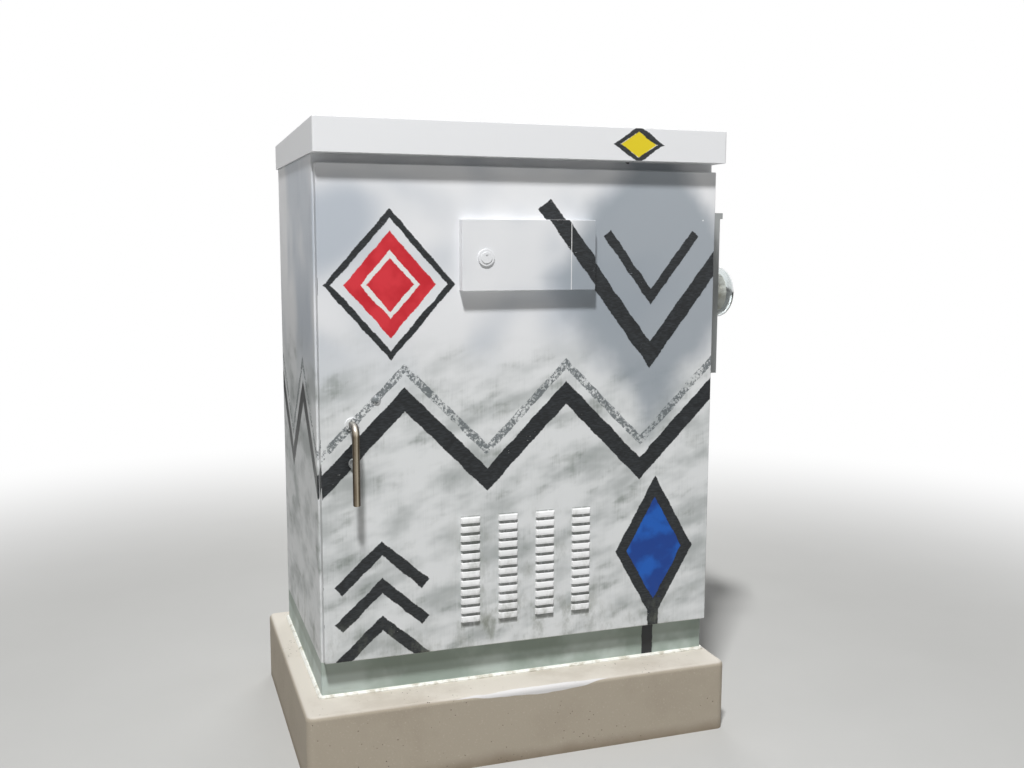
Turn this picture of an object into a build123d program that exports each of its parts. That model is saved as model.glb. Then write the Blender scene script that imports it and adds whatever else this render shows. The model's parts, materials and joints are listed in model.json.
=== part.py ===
from build123d import *
from math import asin, atan, cos, radians, sin
import os

os.makedirs("parts", exist_ok=True)

# Frame: origin at the middle of the cabinet, on the plinth's underside. X runs to the hinge side,
# Y to the rear, Z up. All sizes are in millimetres.

# Cabinet
cabinet_width = 1118.0
cabinet_depth = 660.0
enclosure_height = 1397.0
sheet = 3.2
bend_radius = 5.0
flat_clearance = 0.3
running_clearance = 0.05

# Plinth
pad_height = 200.0
pad_left_margin = 57.0
pad_right_margin = 20.0
pad_front_margin = 115.0
pad_rear_margin = 60.0
pad_corner_radius = 22.0
pad_edge_radius = 12.0
pit_width = 260.0
pit_depth = 300.0
pit_spacing = 360.0

# Riser and anchors
riser_height = 97.0
flange_width = 70.0
anchor_inset = 45.0
stud_radius = 8.0
stud_embedment = 120.0
stud_projection = 34.0
nut_flange_radius = 15.0
nut_flange_thickness = 3.0
nut_width = 24.0
nut_thickness = 14.0
riser_bolt_radius = 5.0
riser_bolt_inset_x = 119.0
riser_bolt_inset_y = 35.0
riser_bolt_head_width = 17.0
riser_bolt_head_height = 6.5
riser_nut_height = 8.5
riser_bolt_tail = 4.0
sealant_width = 9.0
sealant_height = 7.0

# Roof hood
hood_side_overhang = 6.0
hood_front_overhang = 67.5
hood_rear_overhang = 6.0
hood_fascia_height = 85.0
hood_fall = 15.0
hood_corner_radius = 6.0
vent_slot_length = 32.0
vent_slot_width = 6.0
vent_slot_pitch = 44.0
vent_slot_margin = 60.0
vent_row_pitch = 22.0
vent_rows = 2

# Door opening in the body
jamb_width = 45.0
sill_height = 45.0
header_drop = 44.0
header_rise = 16.0
lip_projection = 18.0
gasket_width = 16.0

# Main door
door_depth = 33.0
door_side_inset = 5.0
door_bottom_gap = 7.0
door_top_gap = 23.0
door_edge_radius = 3.0
door_seam = 1.5
stiffener_height = 60.0
stiffener_depth = 18.0
stiffener_web = 30.0
stiffener_sheet = 2.0
stiffener_rise = 526.0
stiffener_left_inset = 174.0
stiffener_right_inset = 64.0

# Louvres
louvre_columns = 4
louvre_rows = 12
louvre_column_pitch = 106.5
louvre_row_pitch = 24.8
louvre_field_x = 0.0
louvre_field_rise = 217.5
louvre_width = 55.0
louvre_height = 16.5
louvre_projection = 6.0
louvre_end_taper = 4.5
louvre_lip_height = 5.0
louvre_shoulder_height = 13.0
louvre_shoulder_projection = 4.0
louvre_sheet = 1.4

# Main hinge
hinge_barrel_radius = 5.0
hinge_pin_radius = 3.0
hinge_leaf = 1.2
hinge_leaf_reach = 30.0
hinge_barrel_inset = 2.0
hinge_seam = 1.5
hinge_knuckles = 11
hinge_knuckle_gap = 0.5
hinge_end_margin = 12.0

# Handle and latch
handle_inset = 86.0
handle_below_middle = 13.5
handle_radius = 9.5
handle_standoff = 49.0
handle_length = 211.0
handle_bend_radius = 24.0
handle_end_radius = 3.0
bushing_radius = 14.0
bushing_flange_radius = 18.0
bushing_flange = 3.5
bushing_tail = 12.0
cam_thickness = 6.0
cam_gap = 1.0
cam_hub_radius = 18.0
cam_nose_radius = 8.0
cam_nose_length = 54.0
cam_pin_radius = 4.0
cam_pin_offset = 28.0
cam_pin_rest_angle = 45.0
cam_pin_clearance = 1.2
rod_thickness = 6.0
rod_width = 16.0
rod_offset = 21.0
rod_slot_margin = 6.0
rod_end_clearance = 5.0
rod_corner_radius = 3.0
guide_width = 25.0
guide_height = 20.0
guide_sheet = 3.0
guide_end_distance = 150.0
guide_margin = 131.5

# Key lock beside the handle
lock_inset = 90.0
lock_below_handle = 100.5
lock_barrel_radius = 12.0
lock_collar_radius = 15.0
lock_collar = 6.0
lock_tail = 20.0
plug_radius = 8.0
keyway_width = 2.5
keyway_height = 10.0
keyway_depth = 6.0
lock_cam_thickness = 3.0
lock_cam_length = 30.0
lock_cam_width = 14.0

# Domed bolt
domed_bolt_inset = 150.0
domed_bolt_above_handle = 60.5
domed_bolt_radius = 12.0
domed_bolt_rise = 6.0
domed_bolt_shank = 5.0
domed_bolt_tail = 14.0

# Small service door
service_left_inset = 371.0
service_width = 370.0
service_height = 184.0
service_top_margin = 134.5
service_depth = 27.0
service_gap = 0.5
service_sheet = 2.0
service_edge_radius = 2.5
service_opening_margin_x = 25.0
service_opening_margin_z = 20.0
small_barrel_radius = 3.5
small_pin_radius = 1.8
small_leaf = 1.2
small_leaf_reach = 20.0
small_barrel_rise = 0.3
small_knuckles = 7
small_knuckle_gap = 0.4
small_end_margin = 6.0
service_lock_inset = 64.0
service_lock_drop = 6.0
service_lock_collar_radius = 22.0
service_lock_collar = 4.0
service_cam_length = 52.0
service_cam_gap = 2.0
cover_radius = 15.0
cover_thickness = 1.5
cover_pivot_rise = 10.0
rivet_radius = 2.0
rivet_head_radius = 3.5
rivet_head = 1.2

# Service compartment
compartment_extra_left = 27.0
compartment_extra = 8.0
compartment_depth = 75.0
compartment_sheet = 1.5
compartment_flange = 14.0
switch_plate_standoff = 15.0
switch_plate_sheet = 2.0
switch_plate_width = 240.0
switch_plate_height = 90.0
toggle_spacing = 70.0
toggle_collar_radius = 7.0
toggle_collar = 7.0
toggle_socket_flare = 12.0
toggle_ball_radius = 5.0
toggle_stem_radius = 2.2
toggle_length = 22.0
toggle_tip_radius = 3.2

# Filter behind the louvres
filter_width = 406.0
filter_height = 305.0
filter_thickness = 22.0
filter_pleats = 20
filter_border = 14.0
filter_lip = 12.0
filter_sheet = 1.5
filter_clearance = 1.0
filter_media = 3.0
filter_back_margin = 2.0
filter_front_margin = 6.0

# Rack inside the cabinet
channel_width = 41.0
channel_depth = 22.0
channel_sheet = 2.5
channel_lip = 9.0
channel_bottom_gap = 48.0
channel_top_gap = 49.0
channel_front = 190.0
channel_rear = 190.0
shelf_sheet = 2.0
shelf_flange = 38.0
shelf_front = 195.0
shelf_rear = 215.0
upper_shelf_drop = 382.0
lower_shelf_below_middle = 31.5

# Equipment
controller_width = 368.0
controller_height = 267.0
controller_depth = 260.0
controller_x = -120.0
controller_bezel = 6.0
keypad_columns = 4
keypad_rows = 5
key_size = 13.0
key_pitch = 19.0
key_rise = 2.5
screen_width = 150.0
screen_height = 62.0
screen_recess = 1.5
screen_rise = 20.0
monitor_width = 114.0
monitor_height = 254.0
monitor_depth = 254.0
monitor_x = 190.0
case_radius = 4.0
case_sheet = 2.0
card_slots = 8
card_pitch = 38.0
card_thickness = 26.0
card_height = 112.0
card_depth = 178.0
rack_sheet = 1.5
rack_side_gap = 12.0

# Back panel and power panel
panel_side_gap = 109.0
panel_height = 500.0
panel_bottom_gap = 63.0
panel_depth = 36.0
panel_sheet = 2.5
switch_margin = 50.0
switch_pitch = 64.0
switch_width = 46.0
switch_height = 106.0
switch_depth = 150.0
switch_rise = 300.0
switch_handle = 12.0
strip_margin = 30.0
strip_pitch = 205.0
strip_width = 180.0
strip_height = 34.0
strip_depth = 22.0
strip_rise = 90.0
strip_ribs = 12
strip_rib_thickness = 2.0
strip_screw_deck = 12.0
power_panel_width = 260.0
power_panel_height = 300.0
power_panel_above_middle = 16.5
power_panel_depth = 36.0
breaker_width = 76.0
breaker_height = 96.0
breaker_depth = 60.0
breaker_rise = 200.0
breaker_slot_width = 14.0
breaker_slot_height = 34.0
breaker_slot_depth = 24.0
breaker_lever_width = 12.0
breaker_lever_radius = 6.0
breaker_lever_length = 22.0
breaker_lever_thickness = 6.0
breaker_pin_radius = 2.0
breaker_pin_length = 8.0

# Ground bar
ground_bar_length = 200.0
ground_bar_height = 22.0
ground_bar_thickness = 8.0
ground_bar_standoff = 18.0
ground_bar_rise = 303.0
ground_screws = 9
ground_screw_radius = 3.5

# Fan
fan_plate_drop = 17.0
fan_plate_sheet = 2.0
fan_plate_front_gap = 30.0
fan_plate_lip = 18.0
fan_size = 150.0
fan_depth = 40.0
fan_bore_radius = 68.0
fan_blade_tip_gap = 2.0
fan_hub_radius = 26.0
fan_hub_height = 24.0
fan_blades = 7
fan_blade_thickness = 2.4
fan_blade_chord = 24.0
fan_blade_root_pitch = 48.0
fan_blade_tip_pitch = 26.0
fan_motor_radius = 22.0
fan_motor_height = 8.0
fan_strut_width = 6.0
fan_strut_height = 5.0
fan_shaft_radius = 3.0
fan_x = 180.0
guard_wire = 1.5
guard_rings = 4
guard_ring_pitch = 17.0

# Electricity meter
meter_box_width = 330.0
meter_box_height = 465.0
meter_box_depth = 124.0
meter_box_top_margin = 144.0
meter_box_y = 0.0
meter_box_sheet = 2.0
meter_cover_sheet = 1.6
meter_cover_overlap = 30.0
meter_cover_gap = 0.4
meter_hood_height = 16.0
meter_hood_projection = 8.0
meter_rise = 238.0
meter_hole_radius = 76.0
meter_disc_radius = 82.0
meter_disc_thickness = 11.0
meter_ring_depth = 20.0
meter_ring_wall = 8.0
meter_glass_flange = 6.0
meter_glass_radius = 78.0
meter_glass_wall = 3.0
meter_glass_length = 128.0
meter_glass_dome = 38.0
meter_register_radius = 58.0
meter_register_length = 78.0
meter_dial_radius = 9.0
meter_dials = 4
meter_dial_rise = 1.0

# Places worked out from the sizes above
side = cabinet_width / 2
front = -cabinet_depth / 2
rear = cabinet_depth / 2
body_bottom = pad_height + riser_height
hood_top_front = body_bottom + enclosure_height
hood_bottom = hood_top_front - hood_fascia_height
hood_front = front - hood_front_overhang
hood_rear = rear + hood_rear_overhang
hood_side = side + hood_side_overhang
hood_slope = hood_fall / (hood_rear - hood_front)
door_bottom = body_bottom + door_bottom_gap
door_top = hood_bottom - door_top_gap
door_face = front - door_depth
door_inner = door_face + sheet
door_side = side - door_side_inset
opening_side = side - jamb_width
opening_bottom = body_bottom + sill_height
opening_top = hood_bottom - header_drop
lip_front = front - lip_projection
hinge_x = door_side - hinge_barrel_inset
hinge_y = front - hinge_seam - hinge_barrel_radius
handle_x = -side + handle_inset
handle_z = (door_bottom + door_top) / 2 - handle_below_middle
cam_front = front + sheet + cam_gap
cam_back = cam_front + cam_thickness
rod_front = cam_back + cam_gap
rod_back = rod_front + rod_thickness
lock_x = -side + lock_inset
lock_z = handle_z - lock_below_handle
domed_bolt_x = -side + domed_bolt_inset
domed_bolt_z = handle_z + domed_bolt_above_handle
service_left = -side + service_left_inset
service_right = service_left + service_width
service_top = door_top - service_top_margin
service_bottom = service_top - service_height
service_face = door_face - service_gap - service_depth
service_lock_x = service_left + service_lock_inset
service_lock_z = service_bottom + service_height / 2 - service_lock_drop
compartment_left = service_left + service_opening_margin_x - compartment_extra_left
compartment_right = service_right - service_opening_margin_x + compartment_extra
compartment_bottom = service_bottom + service_opening_margin_z - compartment_extra
compartment_top = service_top - service_opening_margin_z + compartment_extra
compartment_back = door_inner + compartment_depth
switch_plate_y = compartment_back - switch_plate_standoff
small_hinge_x = service_right + small_leaf / 2 + small_barrel_radius
small_hinge_y = door_face - small_barrel_rise - small_barrel_radius
meter_face = side + meter_box_depth
meter_high = hood_bottom - meter_box_top_margin
meter_low = meter_high - meter_box_height
meter_z = meter_low + meter_rise
stiffener_z = door_bottom + stiffener_rise
louvre_field_z = door_bottom + louvre_field_rise
anchor_spacing_x = cabinet_width - 2 * anchor_inset
anchor_spacing_y = cabinet_depth - 2 * anchor_inset
riser_bolt_spacing_x = side - riser_bolt_inset_x
riser_bolt_spacing_y = cabinet_depth - 2 * riser_bolt_inset_y
channel_bottom = body_bottom + channel_bottom_gap
channel_top = hood_bottom - channel_top_gap
fan_plate_z = hood_bottom - fan_plate_drop
panel_width = cabinet_width - 2 * panel_side_gap
panel_bottom = body_bottom + panel_bottom_gap
switch_z = panel_bottom + switch_rise
strip_z = panel_bottom + strip_rise
upper_shelf_z = fan_plate_z - upper_shelf_drop
lower_shelf_z = (switch_z + switch_height / 2 + upper_shelf_z) / 2 - lower_shelf_below_middle
power_panel_middle = (body_bottom + lower_shelf_z) / 2 + power_panel_above_middle
power_panel_bottom = power_panel_middle - power_panel_height / 2
breaker_z = power_panel_bottom + breaker_rise
ground_bar_z = body_bottom + ground_bar_rise

# Patterns that gain or lose copies with the cabinet's width
vent_slot_columns = int((cabinet_width - 2 * vent_slot_margin) // vent_slot_pitch) + 1
switch_count = int((panel_width - 2 * switch_margin) // switch_pitch)
strip_count = int((panel_width - 2 * strip_margin) // strip_pitch)


def front_plane(y):
    """A drawing plane across the cabinet at depth y, seen from the front: X to the right, Z up."""
    return Plane.XZ.offset(-y)


def side_plane(x):
    """A drawing plane at x, seen from the hinge side: Y to the right, Z up."""
    return Plane.YZ.offset(x)


def block(x, y, z, mode=Mode.ADD):
    """A rectangular block between two limits along each axis."""
    with Locations(((x[0] + x[1]) / 2, (y[0] + y[1]) / 2, (z[0] + z[1]) / 2)):
        Box(x[1] - x[0], y[1] - y[0], z[1] - z[0], mode=mode)


def round_bar(plane, centre, radius, length, mode=Mode.ADD):
    """A cylinder from a drawing plane along its normal."""
    with BuildSketch(plane) as disc:
        with Locations(centre):
            Circle(radius)
    extrude(disc.sketch, amount=length, mode=mode)


def roof_underside(y):
    """The height of the roof's inner face at depth y."""
    return hood_top_front - hood_slope * (y - hood_front) - sheet / cos(atan(hood_slope))


def knuckle_spans(bottom, top, count, gap, first):
    """Every second knuckle of a hinge barrel, from the first one, as (low, high) heights."""
    pitch = (top - bottom) / count
    return [
        (bottom + i * pitch + gap / 2, bottom + (i + 1) * pitch - gap / 2)
        for i in range(first, count, 2)
    ]


# Concrete plinth with two cable pits
with BuildPart() as concrete_plinth:
    with BuildSketch():
        with Locations(
            ((pad_right_margin - pad_left_margin) / 2, (pad_rear_margin - pad_front_margin) / 2)
        ):
            RectangleRounded(
                cabinet_width + pad_left_margin + pad_right_margin,
                cabinet_depth + pad_front_margin + pad_rear_margin,
                pad_corner_radius,
            )
        with GridLocations(pit_spacing, pit_depth, 2, 1):
            Rectangle(pit_width, pit_depth, mode=Mode.SUBTRACT)
    extrude(amount=pad_height)
    fillet(faces().sort_by(Axis.Z)[-1].outer_wire().edges(), pad_edge_radius)
    with Locations((0, 0, pad_height)):
        with GridLocations(anchor_spacing_x, anchor_spacing_y, 2, 2):
            Hole(stud_radius, depth=stud_embedment)
concrete_plinth.part.label = "concrete_plinth"
export_step(concrete_plinth.part, "parts/concrete_plinth.step")

# Anchor studs cast into the plinth
with BuildPart() as anchor_studs:
    with BuildSketch(Plane.XY.offset(pad_height - stud_embedment)):
        with GridLocations(anchor_spacing_x, anchor_spacing_y, 2, 2):
            Circle(stud_radius)
    extrude(amount=stud_embedment + stud_projection)
    chamfer(edges().group_by(Axis.Z)[-1], stud_radius / 6)
anchor_studs.part.label = "anchor_studs"
export_step(anchor_studs.part, "parts/anchor_studs.step")

# Flange nuts on the studs
with BuildPart() as anchor_nuts:
    with BuildSketch(Plane.XY.offset(pad_height + sheet)):
        with GridLocations(anchor_spacing_x, anchor_spacing_y, 2, 2):
            Circle(nut_flange_radius)
    extrude(amount=nut_flange_thickness)
    with BuildSketch(Plane.XY.offset(pad_height + sheet + nut_flange_thickness)):
        with GridLocations(anchor_spacing_x, anchor_spacing_y, 2, 2):
            RegularPolygon(nut_width / 2, 6, major_radius=False)
    extrude(amount=nut_thickness)
    with BuildSketch(Plane.XY.offset(pad_height + sheet)):
        with GridLocations(anchor_spacing_x, anchor_spacing_y, 2, 2):
            Circle(stud_radius)
    extrude(amount=nut_flange_thickness + nut_thickness, mode=Mode.SUBTRACT)
anchor_nuts.part.label = "anchor_nuts"
export_step(anchor_nuts.part, "parts/anchor_nuts.step")

# Base riser: a folded ring with inward flanges
with BuildPart() as base_riser:
    with BuildSketch(Plane.XY.offset(pad_height)):
        RectangleRounded(cabinet_width, cabinet_depth, bend_radius)
    extrude(amount=riser_height)
    with BuildSketch(Plane.XY.offset(pad_height + sheet)):
        RectangleRounded(cabinet_width - 2 * sheet, cabinet_depth - 2 * sheet, bend_radius - sheet)
    extrude(amount=riser_height - 2 * sheet, mode=Mode.SUBTRACT)
    with BuildSketch(Plane.XY.offset(pad_height)):
        Rectangle(cabinet_width - 2 * flange_width, cabinet_depth - 2 * flange_width)
    extrude(amount=riser_height, mode=Mode.SUBTRACT)
    with Locations((0, 0, pad_height + sheet)):
        with GridLocations(anchor_spacing_x, anchor_spacing_y, 2, 2):
            Hole(stud_radius + flat_clearance, depth=sheet)
    with Locations((0, 0, body_bottom)):
        with GridLocations(riser_bolt_spacing_x, riser_bolt_spacing_y, 3, 2):
            Hole(riser_bolt_radius, depth=sheet)
base_riser.part.label = "base_riser"
export_step(base_riser.part, "parts/base_riser.step")

# Sealant bead round the riser's foot
with BuildPart() as base_sealant:
    with BuildSketch(Plane.XY.offset(pad_height)):
        RectangleRounded(
            cabinet_width + 2 * sealant_width,
            cabinet_depth + 2 * sealant_width,
            bend_radius + sealant_width,
        )
    extrude(amount=sealant_height)
    chamfer(edges().group_by(Axis.Z)[-1], sealant_height * 0.6)
    with BuildSketch(Plane.XY.offset(pad_height)):
        RectangleRounded(cabinet_width, cabinet_depth, bend_radius)
    extrude(amount=sealant_height, mode=Mode.SUBTRACT)
base_sealant.part.label = "base_sealant"
export_step(base_sealant.part, "parts/base_sealant.step")

# Bolts and nuts that hold the body to the riser
with BuildPart() as riser_bolts:
    with BuildSketch(Plane.XY.offset(body_bottom + sheet)):
        with GridLocations(riser_bolt_spacing_x, riser_bolt_spacing_y, 3, 2):
            RegularPolygon(riser_bolt_head_width / 2, 6, major_radius=False)
    extrude(amount=riser_bolt_head_height)
    with BuildSketch(Plane.XY.offset(body_bottom + sheet)):
        with GridLocations(riser_bolt_spacing_x, riser_bolt_spacing_y, 3, 2):
            Circle(riser_bolt_radius)
    extrude(amount=-(2 * sheet + riser_nut_height + riser_bolt_tail))
    with BuildSketch(Plane.XY.offset(body_bottom - sheet)):
        with GridLocations(riser_bolt_spacing_x, riser_bolt_spacing_y, 3, 2):
            RegularPolygon(riser_bolt_head_width / 2, 6, major_radius=False)
    extrude(amount=-riser_nut_height)
riser_bolts.part.label = "riser_bolts"
export_step(riser_bolts.part, "parts/riser_bolts.step")

# Welded cabinet body, first as one shell
with BuildPart() as body_shell:
    with BuildSketch(Plane.XY.offset(body_bottom)):
        RectangleRounded(cabinet_width, cabinet_depth, bend_radius)
    extrude(amount=enclosure_height)
    with BuildSketch(Plane.XY.offset(body_bottom + sheet)):
        RectangleRounded(cabinet_width - 2 * sheet, cabinet_depth - 2 * sheet, bend_radius - sheet)
    extrude(amount=enclosure_height, mode=Mode.SUBTRACT)
    with BuildSketch(Plane.XY.offset(body_bottom)):
        Rectangle(cabinet_width - 2 * flange_width, cabinet_depth - 2 * flange_width)
    extrude(amount=sheet, mode=Mode.SUBTRACT)
    # The roof rests on the walls' sloped upper edges
    with BuildSketch(side_plane(-side)):
        with BuildLine():
            Polyline(
                (hood_front, roof_underside(hood_front)),
                (hood_rear, roof_underside(hood_rear)),
                (hood_rear, body_bottom + 2 * enclosure_height),
                (hood_front, body_bottom + 2 * enclosure_height),
                close=True,
            )
        make_face()
    extrude(amount=cabinet_width, mode=Mode.SUBTRACT)
    # Lip that meets the door gasket
    with BuildSketch(front_plane(front + sheet)):
        with Locations((0, (opening_bottom + opening_top) / 2)):
            Rectangle(2 * (opening_side + sheet), opening_top - opening_bottom + 2 * sheet)
    extrude(amount=sheet + lip_projection)
    # Door opening and the air outlet above the header
    block(
        (-opening_side, opening_side),
        (front - 2 * lip_projection, front + 2 * sheet),
        (opening_bottom, opening_top),
        mode=Mode.SUBTRACT,
    )
    block(
        (-opening_side, opening_side),
        (front - sheet, front + sheet + flat_clearance),
        (hood_bottom + header_rise, hood_top_front),
        mode=Mode.SUBTRACT,
    )
    with Locations((0, 0, body_bottom + sheet)):
        with GridLocations(riser_bolt_spacing_x, riser_bolt_spacing_y, 3, 2):
            Hole(riser_bolt_radius, depth=sheet)

# The shell's sheets, which meet at welded seams: front frame, walls and bottom flange
frame_seam = front_plane(front + bend_radius)
flange_seam = Plane.XY.offset(body_bottom + sheet)
with BuildPart() as front_frame:
    add(body_shell.part)
    split(bisect_by=frame_seam, keep=Keep.TOP)
with BuildPart() as body_walls:
    add(body_shell.part)
    split(bisect_by=frame_seam, keep=Keep.BOTTOM)
    split(bisect_by=flange_seam, keep=Keep.TOP)
with BuildPart() as bottom_flange:
    add(body_shell.part)
    split(bisect_by=frame_seam, keep=Keep.BOTTOM)
    split(bisect_by=flange_seam, keep=Keep.BOTTOM)
with BuildPart() as cabinet_body:
    add([*front_frame.solids(), *body_walls.solids(), *bottom_flange.solids()], mode=Mode.REPLACE)
cabinet_body.part.label = "cabinet_body"
export_step(cabinet_body.part, "parts/cabinet_body.step")

# Roof hood, first as one shell: a folded cap with a slotted soffit under its front overhang
with BuildPart() as hood_shell:
    with BuildSketch(side_plane(-hood_side)):
        with BuildLine():
            Polyline(
                (hood_front, hood_bottom),
                (hood_front, hood_top_front),
                (hood_rear, hood_top_front - hood_fall),
                (hood_rear, hood_bottom),
                close=True,
            )
        make_face()
    extrude(amount=2 * hood_side)
    fillet(edges().filter_by(Axis.Z), hood_corner_radius)
    fillet(edges().group_by(Axis.Z)[-1], sheet / 2)
    with BuildSketch(side_plane(-hood_side + sheet)):
        with BuildLine():
            Polyline(
                (hood_front + sheet, hood_bottom),
                (hood_front + sheet, roof_underside(hood_front + sheet)),
                (hood_rear - sheet, roof_underside(hood_rear - sheet)),
                (hood_rear - sheet, hood_bottom),
                close=True,
            )
        make_face()
    extrude(amount=2 * (hood_side - sheet), mode=Mode.SUBTRACT)
    with BuildSketch(Plane.XY.offset(hood_bottom)):
        with Locations((0, (hood_front + front) / 2)):
            Rectangle(2 * (hood_side - sheet / 2), front - hood_front - sheet)
            with GridLocations(vent_slot_pitch, vent_row_pitch, vent_slot_columns, vent_rows):
                Rectangle(vent_slot_length, vent_slot_width, mode=Mode.SUBTRACT)
    extrude(amount=sheet)
    block(
        (-hood_side + sheet, hood_side - sheet),
        (front - sheet, front - flat_clearance),
        (hood_bottom, hood_bottom + sheet),
    )

# The cap and the soffit frame meet at a welded seam
soffit_seam = Plane.XY.offset(hood_bottom + sheet)
with BuildPart() as hood_cap:
    add(hood_shell.part)
    split(bisect_by=soffit_seam, keep=Keep.TOP)
with BuildPart() as hood_soffit:
    add(hood_shell.part)
    split(bisect_by=soffit_seam, keep=Keep.BOTTOM)
with BuildPart() as roof_hood:
    add([*hood_cap.solids(), *hood_soffit.solids()], mode=Mode.REPLACE)
roof_hood.part.label = "roof_hood"
export_step(roof_hood.part, "parts/roof_hood.step")

# One louvre: the pressed bulge and the hollow under it
louvre_sections = [
    (0.0, louvre_width, louvre_height),
    (louvre_shoulder_projection, louvre_width - louvre_end_taper, louvre_shoulder_height),
    (louvre_projection, louvre_width - 2 * louvre_end_taper, louvre_lip_height),
]

with BuildPart() as louvre_bulge:
    for projection, width, height in louvre_sections:
        with BuildSketch(front_plane(door_face - projection)):
            Rectangle(width, height, align=(Align.CENTER, Align.MIN))
    loft(ruled=True)

with BuildPart() as louvre_hollow:
    for projection, width, height in louvre_sections:
        with BuildSketch(front_plane(door_face - projection + louvre_sheet)):
            Rectangle(width - 2 * louvre_sheet, height - louvre_sheet, align=(Align.CENTER, Align.MIN))
    loft(ruled=True)
    block(
        (-louvre_width / 2 + louvre_sheet, louvre_width / 2 - louvre_sheet),
        (door_face + louvre_sheet, door_inner),
        (0, louvre_height - louvre_sheet),
    )

louvre_places = [
    (
        louvre_field_x + (column - (louvre_columns - 1) / 2) * louvre_column_pitch,
        0,
        louvre_field_z + (row - (louvre_rows - 1) / 2) * louvre_row_pitch - louvre_height / 2,
    )
    for column in range(louvre_columns)
    for row in range(louvre_rows)
]

# Main door: a folded pan
with BuildPart() as main_door:
    with BuildSketch(front_plane(front - door_seam)):
        with Locations((0, (door_bottom + door_top) / 2)):
            Rectangle(2 * door_side, door_top - door_bottom)
    extrude(amount=door_depth - door_seam)
    fillet(edges().filter_by(Axis.Y), door_edge_radius)
    fillet(faces().sort_by(Axis.Y)[0].edges(), door_edge_radius)
    block(
        (-door_side + sheet, door_side - sheet),
        (door_inner, front),
        (door_bottom + sheet, door_top - sheet),
        mode=Mode.SUBTRACT,
    )
    # The hinge side's return stops short of the hinge barrel
    block(
        (door_side - 2 * sheet, door_side + sheet),
        (hinge_y - hinge_barrel_radius - hinge_knuckle_gap, front),
        (door_bottom - sheet, door_top + sheet),
        mode=Mode.SUBTRACT,
    )
    # Hat-section stiffener across the door
    with BuildSketch(side_plane(stiffener_left_inset - door_side)):
        with BuildLine():
            Polyline(
                (door_inner, stiffener_z - stiffener_height / 2),
                (door_inner, stiffener_z - stiffener_web / 2),
                (door_inner + stiffener_depth, stiffener_z - stiffener_web / 2),
                (door_inner + stiffener_depth, stiffener_z + stiffener_web / 2),
                (door_inner, stiffener_z + stiffener_web / 2),
                (door_inner, stiffener_z + stiffener_height / 2),
            )
            offset(amount=stiffener_sheet, side=Side.LEFT)
        make_face()
    extrude(amount=2 * door_side - stiffener_left_inset - stiffener_right_inset)
    # Louvres
    with Locations(*louvre_places):
        add(louvre_bulge.part)
    with Locations(*louvre_places):
        add(louvre_hollow.part, mode=Mode.SUBTRACT)
    # Opening behind the small service door
    block(
        (service_left + service_opening_margin_x, service_right - service_opening_margin_x),
        (door_face - sheet, door_inner + sheet),
        (service_bottom + service_opening_margin_z, service_top - service_opening_margin_z),
        mode=Mode.SUBTRACT,
    )
    # Holes for the handle bushing, the lock and the domed bolt
    round_bar(front_plane(door_inner), (handle_x, handle_z), bushing_radius, sheet, Mode.SUBTRACT)
    round_bar(front_plane(door_inner), (lock_x, lock_z), lock_barrel_radius, sheet, Mode.SUBTRACT)
    round_bar(
        front_plane(door_inner), (domed_bolt_x, domed_bolt_z), domed_bolt_shank, sheet, Mode.SUBTRACT
    )
main_door.part.label = "main_door"
export_step(main_door.part, "parts/main_door.step")

# Door gasket
with BuildPart() as door_gasket:
    with BuildSketch(front_plane(lip_front - flat_clearance)):
        with Locations((0, (opening_bottom + opening_top) / 2)):
            Rectangle(
                2 * opening_side + sheet + gasket_width,
                opening_top - opening_bottom + sheet + gasket_width,
            )
            Rectangle(
                2 * opening_side + sheet - gasket_width,
                opening_top - opening_bottom + sheet - gasket_width,
                mode=Mode.SUBTRACT,
            )
    extrude(amount=lip_front - flat_clearance - door_inner)
door_gasket.part.label = "door_gasket"
export_step(door_gasket.part, "parts/door_gasket.step")

# Continuous hinge of the main door
hinge_bottom = door_bottom + hinge_end_margin
hinge_top = door_top - hinge_end_margin
door_knuckles = knuckle_spans(hinge_bottom, hinge_top, hinge_knuckles, hinge_knuckle_gap, 1)
body_knuckles = knuckle_spans(hinge_bottom, hinge_top, hinge_knuckles, hinge_knuckle_gap, 0)

with BuildPart() as body_hinge_leaf:
    block((hinge_x - hinge_leaf_reach, hinge_x), (front - hinge_leaf, front), (hinge_bottom, hinge_top))
    for low, high in body_knuckles:
        with BuildSketch(Plane.XY.offset(low)):
            with Locations((hinge_x, hinge_y)):
                Circle(hinge_barrel_radius)
            with Locations((hinge_x, (hinge_y + front) / 2)):
                Rectangle(hinge_barrel_radius, front - hinge_y)
            with Locations((hinge_x, hinge_y)):
                Circle(hinge_pin_radius, mode=Mode.SUBTRACT)
        extrude(amount=high - low)
body_hinge_leaf.part.label = "body_hinge_leaf"
export_step(body_hinge_leaf.part, "parts/body_hinge_leaf.step")

with BuildPart() as door_hinge_leaf:
    block(
        (door_side - sheet - hinge_leaf, door_side - sheet),
        (door_inner + hinge_leaf, hinge_y - hinge_barrel_radius - hinge_knuckle_gap),
        (hinge_bottom, hinge_top),
    )
    for low, high in door_knuckles:
        with BuildSketch(Plane.XY.offset(low)):
            with Locations((hinge_x, hinge_y)):
                Circle(hinge_barrel_radius)
            with Locations(
                (
                    door_side - sheet - hinge_leaf / 2,
                    hinge_y - hinge_barrel_radius / 2 - hinge_knuckle_gap,
                )
            ):
                Rectangle(hinge_leaf, hinge_barrel_radius + 2 * hinge_knuckle_gap)
            with Locations((hinge_x, hinge_y)):
                Circle(hinge_pin_radius + running_clearance, mode=Mode.SUBTRACT)
        extrude(amount=high - low)
door_hinge_leaf.part.label = "door_hinge_leaf"
export_step(door_hinge_leaf.part, "parts/door_hinge_leaf.step")

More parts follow.
